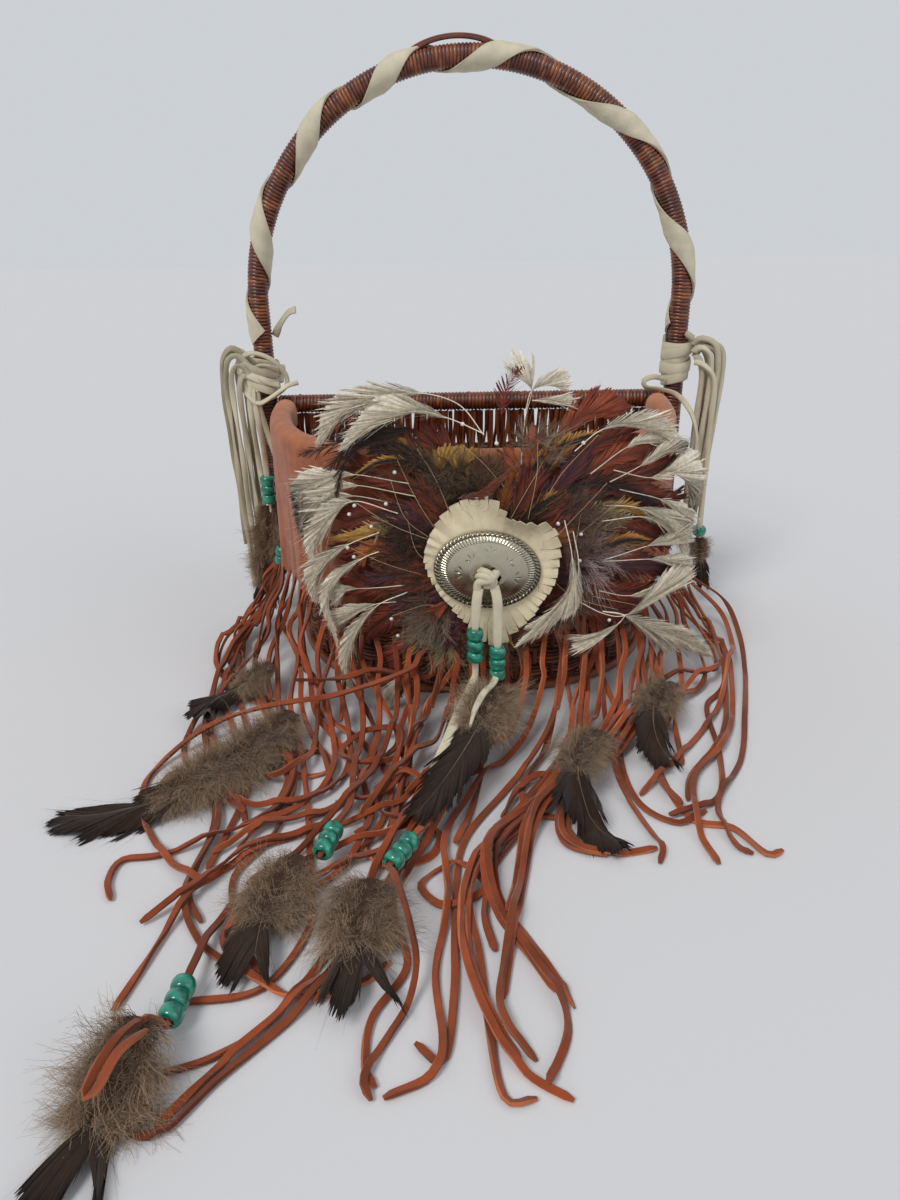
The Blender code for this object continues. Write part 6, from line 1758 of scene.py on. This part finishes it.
def make_bundles():
    """The thongs that hang from each knot, with their beads and feathers."""
    # Painted shade: dull, mid and grey darken the ivory in steps for thongs that hang in the bundles' shade.
    dull = mix(IVORY, rgb(176, 168, 142), 0.6)
    mid = mix(IVORY, rgb(190, 182, 158), 0.3)
    grey = rgb(160, 152, 130)
    work = Work()
    left = [
        ([(-139, 47, 168), (-147, 45, 178), (-154, 44, 176), (-157, 45, 162), (-157, 46, 130),
          (-156, 47, 90), (-155, 47, 40), (-154, 47, 17)], dull),
        ([(-139, 50, 172), (-147, 49, 181), (-155, 49, 178), (-157, 49, 160), (-155, 49, 120),
          (-153, 48, 70), (-152, 48, 24)], mid),
        ([(-140, 45, 165), (-147, 42, 173), (-152, 41, 168), (-153, 42, 150), (-151.5, 43, 110),
          (-151, 44, 60), (-150, 44, 28)], mid),
        ([(-141, 52, 168), (-148, 53, 174), (-151, 53, 165), (-150, 52, 130), (-149, 51, 80),
          (-148, 51, 32)], grey),
        ([(-142, 45, 164), (-146, 43, 166), (-148.5, 42, 155), (-147.5, 43, 120), (-146, 44, 80),
          (-146, 45, 36)], dull),
        ([(-141, 49, 166), (-145, 48, 168), (-146, 48, 155), (-145, 48, 120), (-144, 48, 80),
          (-144, 48, 30)], grey),
        ([(-141, 47, 170), (-150, 46, 183), (-158, 45.5, 176), (-159.5, 46, 156), (-158.5, 47, 120),
          (-157.5, 48, 84), (-157, 48, 50)], grey),
        ([(-140, 44, 160), (-140, 42, 152), (-138.6, 41, 140), (-136.8, 40, 120), (-136.4, 40, 100),
          (-136.4, 40, 84), (-136.4, 40, 76)], mid),
        ([(-141, 44, 162), (-143, 43, 152), (-142.5, 42.5, 135), (-141.5, 43, 115), (-141, 44, 92),
          (-141, 45, 60)], mid),
        ([(-138, 44, 156), (-137, 43, 146), (-133, 42, 128), (-129, 42, 108), (-127, 43, 96)],
         dull),
    ]
    for k, (route, tint) in enumerate(left):
        thong(work, route, 70 + k, 0.0038, 0.0015, tint)
    work.piece("left_bundle_thongs", CREAM, body="left_bundle", slot="cream_leather",
               nodes=["left_thongs"])
    work = Work()
    right = [
        ([(142.5, 50, 180), (146, 47, 184), (155, 45, 180), (158, 45, 165), (157, 46, 140),
          (155, 46, 110), (154, 46, 80)], dull),
        ([(142.5, 50, 175), (148, 49, 181), (160, 49, 177), (162, 49, 160), (160, 48, 130),
          (157, 47, 100), (156, 47, 72)], mid),
        ([(142.5, 46, 176), (146, 43, 179), (152, 42, 172), (153, 43, 150), (151, 44, 115),
          (150, 44, 74)], mid),
        ([(142.5, 46, 172), (145, 44, 172), (148, 44, 160), (147, 45, 130), (146, 45, 100),
          (146, 45, 70)], dull),
        ([(142.5, 52, 178), (149, 53, 178), (154, 53, 165), (153, 52, 130), (151, 51, 76)], grey),
        ([(142.5, 48, 174), (148, 46.5, 179), (156.5, 46, 174), (157.5, 46.5, 150), (155, 47, 110),
          (153, 47, 68)], grey),
        ([(142.5, 49, 172), (148, 48.5, 177), (153, 48, 164), (153.5, 48, 130), (152, 48, 100),
          (151, 48, 60)], dull),
        ([(142.5, 44, 170), (148, 41, 168), (155, 40, 158), (155.6, 40, 130), (155.6, 40, 90),
          (155.6, 40, 64), (155.6, 40, 52)], mid),
    ]
    for k, (route, tint) in enumerate(right):
        thong(work, route, 80 + k, 0.0038, 0.0026, tint)
    work.piece("right_bundle_thongs", CREAM, body="right_bundle", slot="cream_leather",
               nodes=["right_thongs"])
    bead_run("left_bundle_bead_run", (-0.1364, 0.040, 0.101), (0, 0, -1), 3, "left_bundle", 91,
             ["left_bundle_beads"])
    bead_run("right_bundle_bead_one", (0.1556, 0.040, 0.060), (0, 0, -1), 1, "right_bundle", 92,
             ["right_bundle_bead"])
    hanging = [(-136.4, 40, 80), (-139, 40, 58), (-142, 40, 36), (-146, 40, 14)]
    downy_feather("left_hanging_feather", hanging, 0.025, (0, -1, 0), "left_bundle",
                  "left_bundle_feather", "brown_feather", 93, dark=0.86, lush=1.4)
    hanging = [(155.6, 40, 52), (157, 40, 42), (160, 40, 28), (163, 40, 13)]
    downy_feather("right_hanging_feather", hanging, 0.015, (0, -1, 0), "right_bundle",
                  "right_bundle_feather", "dark_feather", 94, dark=0.4)


# Downy body feathers

# The tones of brown down from root to tip.
BROWN_DOWN = [(0, rgb(64, 47, 37)), (0.5, rgb(112, 88, 69)), (1, rgb(172, 148, 123))]


def downy_feather(name, route, width, up, body, node, slot, seed, dark=0.6, heights=None,
                  lush=1.0):
    """A feather with soft down from the quill to the dark share of its length, then a firm tip."""
    line = smooth_route(in_metres(route), 0.0022)
    if heights is not None:
        line[:, 2] = heights(line)
    chance = np.random.default_rng(seed)
    total = path_length(line)
    up = np.broadcast_to(unit(np.array(up, float)), line.shape)
    work = Work()
    first, last = int(len(line) * max(dark - 0.2, 0.04)), int(len(line) * 0.93)
    plume(work, line[first:last], up[first:last], width * 1000 * 0.72, "floor", seed, shaft=0.5,
          droop=0.05, split=0.6)
    tube(work, line[:first + 1], 0.0006, rgb(150, 136, 112), 6, first=up[0])
    matted(work, line, up, width * 0.2, dark, BROWN_DOWN[0][1] * 1.1)
    along = np.linspace(0, total, len(line))
    ways = tangents(line)
    many = int(13000 * total * lush * max(dark, 0.25))
    s = wisps(total * dark * chance.uniform(0, 1, many) ** 0.85, 0.0006, chance).clip(0, total)
    at, way = values_at(s, along, line), unit(values_at(s, along, ways))
    sign = np.repeat(np.sign(chance.uniform(-1, 1, many)), WISP)[:, None]
    side = np.cross(way, up[0]) * sign
    rise = wisps(chance.uniform(-0.1, 0.5, (many, 1)), 0.06, chance)
    ahead = wisps(chance.uniform(0.0, 1.3, (many, 1)), 0.08, chance)
    size = width * 0.46 * np.sin(math.pi * np.clip(0.14 + 0.78 * s / (total * dark), 0, 1)) ** 0.5
    spots = at + side * (wisps(chance.uniform(0, 0.4, many), 0.04, chance) * size)[:, None]
    down(work, spots, unit(way * ahead + side + up[0] * rise), np.broadcast_to(up[0], at.shape),
         size, BROWN_DOWN, seed + 1, breadth=0.16, curl=0.2, droop=0.3, stray=0.24)
    return work.piece(name, DOWN, body=body, slot=slot, nodes=[node], smooth=False)


def matted(work, line, up, half, share, shade):
    """The matted heart of a feather's down, under its loose strands."""
    last = int(len(line) * share)
    ways = tangents(line)[:last]
    side = np.cross(ways, up[:last])
    f = np.linspace(0, 1, last)
    reach = half * np.sin(math.pi * np.clip(0.08 + 0.86 * f, 0, 1)) ** 0.6
    reach = reach * (1 + 0.12 * np.sin(f * 37) + 0.08 * np.sin(f * 71 + 1))
    rows = []
    for a in np.linspace(0, 2 * math.pi, 13)[:-1]:
        lift = 0.0014 * math.sin(a) * reach / half
        off = side * (reach * math.cos(a))[:, None] + up[:last] * lift[:, None]
        rows.append(line[:last] + off)
    work.grid(np.array(rows).transpose(1, 0, 2), shade, closed=True, caps=True)


# The feathers on the floor: route and width, then the slot, and how much of each is down.
FLOOR_FEATHERS = {
    "big_left": ([(-104, -118), (-122, -150), (-146, -174), (-180, -188), (-214, -188)], 0.034,
                 "brown_feather", 0.62),
    "small_left": ([(-122, -70), (-138, -80), (-152, -98), (-150, -118)], 0.022,
                   "dark_feather", 0.35),
    "lower_left": ([(-124, -318), (-129, -333), (-132, -348), (-131, -361)], 0.035,
                   "brown_feather", 0.72),
    "centre_left": ([(-82, -234), (-90, -248), (-94, -264), (-94, -284)], 0.030,
                    "brown_feather", 0.6),
    "centre": ([(-50, -244), (-54, -258), (-54, -274), (-50, -292)], 0.036, "brown_feather", 0.7),
    "right": ([(62, -146), (50, -160), (44, -184), (50, -208), (62, -224)], 0.024,
              "dark_feather", 0.45),
    "far_right": ([(108, -100), (96, -116), (90, -140), (96, -164)], 0.024, "dark_feather", 0.45),
}


def make_floor_feathers(pile):
    """The feathers among the laces, each laid on what lies under it."""
    for k, (name, (route, width, slot, dark)) in enumerate(FLOOR_FEATHERS.items()):
        def heights(line):
            tops = pile.top(line, width / 2)
            tops = np.convolve(np.pad(tops, 4, mode="edge"), np.ones(9) / 9, mode="valid")
            return tops + 0.0034

        points = [(x, y, 4) for x, y in route]
        downy_feather(f"{name}_downy_feather", points, width, (0, 0, 1), "basket",
                      f"{name}_feather", slot, 300 + 5 * k, dark=dark, heights=heights)


# Rosette, concho and tails

# The rosette's cut outline: how far it reaches from its middle, in millimetres, at angles
# in degrees from the right round over the top.
ROSETTE_OUTLINE = [(2, 37.8), (15, 39.9), (31, 42.0), (42, 41.0), (50, 35.6), (60, 34.2),
                   (71, 32.2), (80, 37.6), (92, 41.0), (106, 40.5), (121, 39.3), (145, 35.5),
                   (166, 34.3), (178, 32.6), (199, 29.4), (227, 28.8), (252, 34.1), (269, 44.6),
                   (280, 46.4), (292, 40.0), (306, 38.0), (325, 35.2), (342, 37.0)]


def rosette_reach(angle):
    angles, reaches = zip(*ROSETTE_OUTLINE)
    return np.interp(math.degrees(angle) % 360, angles, reaches, period=360) * MM


def make_rosette():
    """A leather disc slit all round: the tabs at the upper right curl forward."""
    tabs, cols = 44, 5
    chance = random.Random(17)
    cx, cz = SPRAY_CENTRE[0] * MM, SPRAY_CENTRE[1] * MM
    rows = (0.05, 0.2, 0.4, 0.6, 0.72, 0.82, 0.88, 0.94, 1.0)
    edges = np.cumsum([0] + [chance.uniform(0.75, 1.3) for _ in range(tabs)])
    edges = edges / edges[-1] * 2 * math.pi
    verts, faces, tints, seen = [], [], [], {}
    lifts = [chance.uniform(-0.3, 1.0) for _ in range(tabs)]
    cuts = [0.82 if math.sin((edges[k] + edges[k + 1]) / 2) > -0.3 else 0.72 for k in range(tabs)]

    def near(angle, degrees, spread):
        """1 in one direction from the middle, falling off to both sides of it."""
        return math.exp(-((math.degrees(angle) - degrees) / spread) ** 2)

    def spot(layer, row, k, j):
        """The number of a point, made when first asked for; tabs share it up to their cuts."""
        if j == cols - 1 and (rows[row] <= min(cuts[k], cuts[(k + 1) % tabs])):
            k, j = (k + 1) % tabs, 0
        key = (layer, row, k, j)
        if key in seen:
            return seen[key]
        a0, a1 = edges[k], edges[k + 1]
        middle = (a0 + a1) / 2
        f = j / (cols - 1)
        angle = a0 + (a1 - a0) * f
        out = max(rows[row] - cuts[k], 0) / (1 - cuts[k])
        wide_gap = near(middle, 352, 26) + near(middle, 8, 30) + 0.6 * near(middle, 268, 30)
        gape = 0.02 + 0.22 * min(wide_gap, 1) * (0.6 + 0.4 * math.sin(k * 2.3))
        narrowed = 1 - gape * out - 0.10 * out ** 4 * (abs(f - 0.5) > 0.3)
        angle = middle + (angle - middle) * narrowed
        reach = rosette_reach(middle if out > 0 else angle) * rows[row]
        curled = near(angle, 58, 24)
        turned = max(rows[row] - 0.6, 0) / 0.4
        curl = 0.0010 * lifts[k] * out ** 1.6 + 0.0066 * curled * turned ** 2
        reach -= 0.0016 * curled * out ** 2
        left = near(angle, 130, 50)
        wave = math.sin(angle * 31 + 2 * math.sin(angle * 7))
        pleat = (0.0002 + 0.0005 * left) * wave * rows[row] ** 3
        y = -0.0996 - (0.0017 if layer else 0.0) - curl - pleat * layer
        # Painted shade: the tabs past their slits are darker by a share that changes from tab to tab, the back layer
        # is darker, a band just inside the forward curl is darker, and light and shade are painted along the pleats.
        shade = 1 - 0.14 * out * (0.5 + 0.5 * math.sin(k * 1.7)) - 0.06 * (1 - layer)
        shade -= 0.20 * curled * math.exp(-((rows[row] - 0.76) / 0.12) ** 2)
        shade -= 0.05 * wave * rows[row] ** 2 * (0.4 + left)
        # Darker and greyer towards the upper right.
        greyer_up_right = 0.5 * near(angle, 70, 55)
        seen[key] = len(verts)
        verts.append((cx + reach * math.cos(angle), y, cz + reach * math.sin(angle)))
        tints.append(mix(rgb(238, 224, 190), rgb(204, 192, 162), greyer_up_right) * shade)
        return seen[key]

    last = len(rows) - 1
    for k in range(tabs):
        cut_row = next(i for i, r in enumerate(rows) if r >= cuts[k] - 1e-9)
        for row in range(last):
            for j in range(cols - 1):
                for layer in (1, 0):
                    a, b = spot(layer, row, k, j), spot(layer, row, k, j + 1)
                    c, d = spot(layer, row + 1, k, j + 1), spot(layer, row + 1, k, j)
                    faces.append((a, d, c, b) if layer else (a, b, c, d))
            if row >= cut_row - 1:
                for j in (0, cols - 1):
                    side = (spot(1, row, k, j), spot(0, row, k, j), spot(0, row + 1, k, j),
                            spot(1, row + 1, k, j))
                    if len(set(side)) == 4:
                        faces.append(side if j == 0 else side[::-1])
        for j in range(cols - 1):
            faces.append((spot(1, last, k, j), spot(0, last, k, j), spot(0, last, k, j + 1),
                          spot(1, last, k, j + 1)))
            faces.append((spot(1, 0, k, j + 1), spot(0, 0, k, j + 1), spot(0, 0, k, j),
                          spot(1, 0, k, j)))
    piece("slit_rosette", verts, faces, tints, CREAM, body="concho_and_rosette",
          slot="cream_leather", nodes=["leather_rosette"])


CONCHO_TILT = math.radians(-6.6)
CONCHO_HALF = (0.0285, 0.022)


def concho_spot(x, y, z):
    """A point of the concho's own frame, in metres, put in place."""
    c, s = math.cos(CONCHO_TILT), math.sin(CONCHO_TILT)
    return np.stack([SPRAY_CENTRE[0] * MM + c * x - s * z, -0.1022 - y,
                     SPRAY_CENTRE[1] * MM + s * x + c * z], -1)


def inside(x, z, corners):
    """Whether points lie inside a convex outline given anticlockwise."""
    hit = np.ones(x.shape, bool)
    for (ax, az), (bx, bz) in zip(corners, corners[1:] + corners[:1]):
        hit &= (bx - ax) * (z - az) - (bz - az) * (x - ax) >= 0
    return hit


def make_concho():
    """An oval silver dome: roped rim, fluted ring, stamped rays and two slots."""
    reach = np.concatenate([np.linspace(0.02, 0.70, 46), np.linspace(0.71, 1.0, 34)])
    angle = 2 * math.pi * np.arange(540) / 540
    r, a = np.meshgrid(reach, angle, indexing="ij")
    high = np.interp(r, (0, 0.06, 0.34, 0.60, 0.80, 0.88, 0.93, 1.0),
                     (0.0062, 0.0062, 0.0060, 0.0046, 0.0027, 0.0016, 0.0013, 0.0004))
    rope = np.clip(1 - ((r - 0.945) / 0.052) ** 2, 0, 1) ** 0.5
    strand = 0.5 + 0.5 * np.sin(a * 62 + (r - 0.945) * 46)
    high = high + rope * (0.0006 + 0.0006 * strand)
    flute = np.clip(1.6 - 1.6 * ((r - 0.82) / 0.075) ** 2, 0, 1)
    comb = 0.5 + 0.5 * np.sin(a * 84 + (r - 0.82) * 16)
    high = high + flute * 0.0005 * comb
    x = CONCHO_HALF[0] * r * np.cos(a)
    z = CONCHO_HALF[1] * r * np.sin(a)
    mark = np.zeros_like(x)
    for at, spin in (((0.0, 0.0110), 90), ((-0.0128, -0.0010), 180), ((0.0136, -0.0010), 0),
                     ((0.0, -0.0125), 270), ((-0.0085, 0.0065), 140), ((0.0092, 0.0062), 42)):
        dx, dz = x - at[0], z - at[1]
        far = np.hypot(dx, dz)
        turn = np.arctan2(dz, dx) - math.radians(spin)
        turn = (turn + math.pi) % (2 * math.pi) - math.pi
        fan = np.clip(np.cos(turn * 7) * 3.2 - 2.0, 0, 1) * (np.abs(turn) < 1.25)
        mark = np.maximum(mark, fan * np.clip(1 - np.abs(far - 0.0026) / 0.0019, 0, 1))
    high = high - 0.00032 * mark
    slots = np.zeros(x.shape, bool)
    for side in (-1, 1):
        corners = [(side * cx * MM, cz * MM) for cx, cz in
                   ((1.2, -3.4), (6.4, -3.4), (7.0, -1.0), (2.8, 4.2), (1.2, 3.8))]
        slots |= inside(x, z, corners if side > 0 else corners[::-1])
    high = np.where(slots, 0.0016, high)
    light = rgb(204, 196, 174)
    dirt = rgb(58, 49, 38)
    worn = 1 - rope * (0.40 + 0.50 * (1 - strand)) - 0.62 * flute * (1 - comb) - 0.6 * mark
    worn = worn * (1 - 0.25 * np.clip((r - 0.86) / 0.03, 0, 1) * np.clip((0.92 - r) / 0.03, 0, 1))
    # Painted reflection: the silver is brighter towards the top and darker towards the bottom and the right.
    painted_reflection_gradient = np.clip(0.74 + 0.30 * z / CONCHO_HALF[1] - 0.06 * x / CONCHO_HALF[0], 0.42, 1)
    tints = dirt + (light * painted_reflection_gradient[..., None] - dirt) * np.clip(worn, 0, 1)[..., None]
    # Painted shadow: the slots are not cut through; they are painted near-black as the shade inside them.
    tints[slots] = rgb(14, 12, 11)
    front = concho_spot(x, high, z)
    back = concho_spot(x[::-1], np.zeros_like(x), z[::-1])
    rows = np.concatenate([front, back])
    work = Work()
    # Painted shade: the back takes the front's colours at half.
    work.grid(rows, np.concatenate([tints, tints[::-1] * 0.5]), closed=True)
    count = len(angle)
    work.faces += [tuple(range(count))[::-1],
                   tuple(range((len(rows) - 1) * count, len(rows) * count))]
    work.piece("aged_concho", SILVER, body="concho_and_rosette", slot="silver", nodes=["concho"])


def make_tie():
    """The thong's two strands come out of the slots, cross in a half knot and turn down."""
    work = Work()

    def strand(route, width, thick, seed):
        line = smooth_route([concho_spot(*(c * MM for c in p)) for p in route], 0.0009)
        thong_along(work, line, (0, -1.0, 0.2), width, thick, IVORY, random.Random(seed))

    strand(((-3.6, 1.5, 1.5), (-3.8, 7.0, 2.0), (-2.2, 9.6, 2.6), (0.6, 10.4, 1.6),
            (2.6, 10.2, -1.0), (3.0, 9.9, -3.6), (3.0, 9.8, -6.0)), 0.0044, 0.0026, 5)
    strand(((3.6, 1.5, 1.5), (3.9, 7.0, 1.6), (2.6, 10.2, 1.0), (0.2, 12.2, -0.4),
            (-3.0, 11.6, -1.6), (-4.8, 10.4, -3.8), (-5.0, 9.9, -7.0)), 0.0044, 0.0026, 6)
    strand(((-5.2, 8.0, -1.2), (-5.0, 10.6, 0.6), (-1.6, 12.4, 1.6), (1.8, 12.0, -1.4),
            (1.2, 10.6, -4.2), (-1.6, 9.4, -5.0)), 0.0036, 0.0022, 9)
    work.piece("tie_over_bar", CREAM, body="concho_and_rosette", slot="cream_leather",
               nodes=["concho_tie"])


def make_drops():
    """The thong's two tails with their beads, and the feather tied under the right one."""
    step, wide, narrow, trim = 0.0018, 0.0052, 0.0036, 0.022
    tails = {}
    routes = {
        "left": ([(-1, -112, 85), (-2, -113.4, 79), (-2.6, -113.2, 70), (-3, -113, 60),
                  (-3, -113, 45), (-3, -113, 34), (-5, -119, 30.5), (-9, -134, 31), (-14, -150, 29),
                  (-20, -168, 25.5), (-27, -184, 21)], 62),
        "right": ([(7, -112, 86), (8.6, -113.4, 79), (9, -113.2, 68), (9, -113, 54),
                   (9, -113.2, 40), (8.2, -116, 34.5), (6, -122, 33), (1, -133, 34.5),
                   (-4, -146, 33), (-7, -158, 30.5)], 51),
    }
    for k, (name, (route, top)) in enumerate(routes.items()):
        line = smooth_route(in_metres(route), step)
        low = (top - 3 * BEAD_LENGTH / MM - (9.5 if name == "left" else 1.5)) * MM
        over = np.clip((line[:, 2] - top * MM) / 0.003, 0, 1)
        under = np.clip((low - line[:, 2]) / 0.003, 0, 1)
        width = narrow + (wide - narrow) * np.clip(over + under, 0, 1)
        to_end = np.arange(len(line))[::-1] * step
        width = width * (1 - 0.62 * np.clip(1 - to_end / trim, 0, 1) ** 1.5)
        face = np.where(line[:, 1:2] < -0.118, (0, -0.35, 1.0), (0, -1.0, 0.25))
        work = Work()
        thong_along(work, line, face, width, 0.0019, IVORY, random.Random(7 + k), 0.12)
        tails[name] = (work.piece(f"{name}_thong_tail", CREAM, body="drops", slot="cream_leather",
                                  nodes=[f"{name}_tail"]), line)
    riders = {"left": [], "right": []}
    for name, x, top, body in (("left", -3, 62, "sliding_beads"), ("right", 9, 51, "drops")):
        for k in range(3):
            start = (x * MM, -0.113, top * MM - k * (BEAD_LENGTH + 0.0004))
            riders[name].append(bead_run(f"{name}_tail_pony_{k + 1}", start, (0, 0, -1), 1, body,
                                         20 + k + (7 if name == "left" else 0),
                                         [f"{name}_tail_bead_{k + 1}"]))
    route = ((9, -117, 30), (6, -128, 29.5), (0, -147, 28.5), (-9, -169, 26), (-20, -191, 22.5),
             (-31, -208, 19), (-38, -218, 17))
    downy_feather("hanging_feather", route, 0.030, (0, -0.35, 1), "drops", "drop_feather",
                  "dark_feather", 61, dark=0.36, lush=1.2)
    for name, (strap_piece, line) in tails.items():
        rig.cord(strap_piece, exit=line[0], length=path_length(line), diameter=0.0042,
                far_end="bare", stiffness="limp", lay="hanging",
                path=line, with_pieces=riders[name])


def main():
    make_camera()
    make_stage()
    apron = make_apron()
    laces, shown, pile = make_laces(apron)
    declare_laces(laces, shown, make_floor_beads(laces))
    make_drops()
    make_base()
    make_back_wall()
    make_front_wall()
    make_rims()
    make_hoop()
    make_cane_loop()
    make_strip()
    make_knots()
    make_bundles()
    make_plumes()
    make_spray_down()
    make_filaments()
    make_rosette()
    make_concho()
    make_tie()
    make_floor_feathers(pile)


main()
shown_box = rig.bounds()
with open("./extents.json", "w") as out:
    json.dump({"cad": [list(map(float, p)) for p in cad_box],
               "scene": [list(map(float, p)) for p in shown_box]}, out)
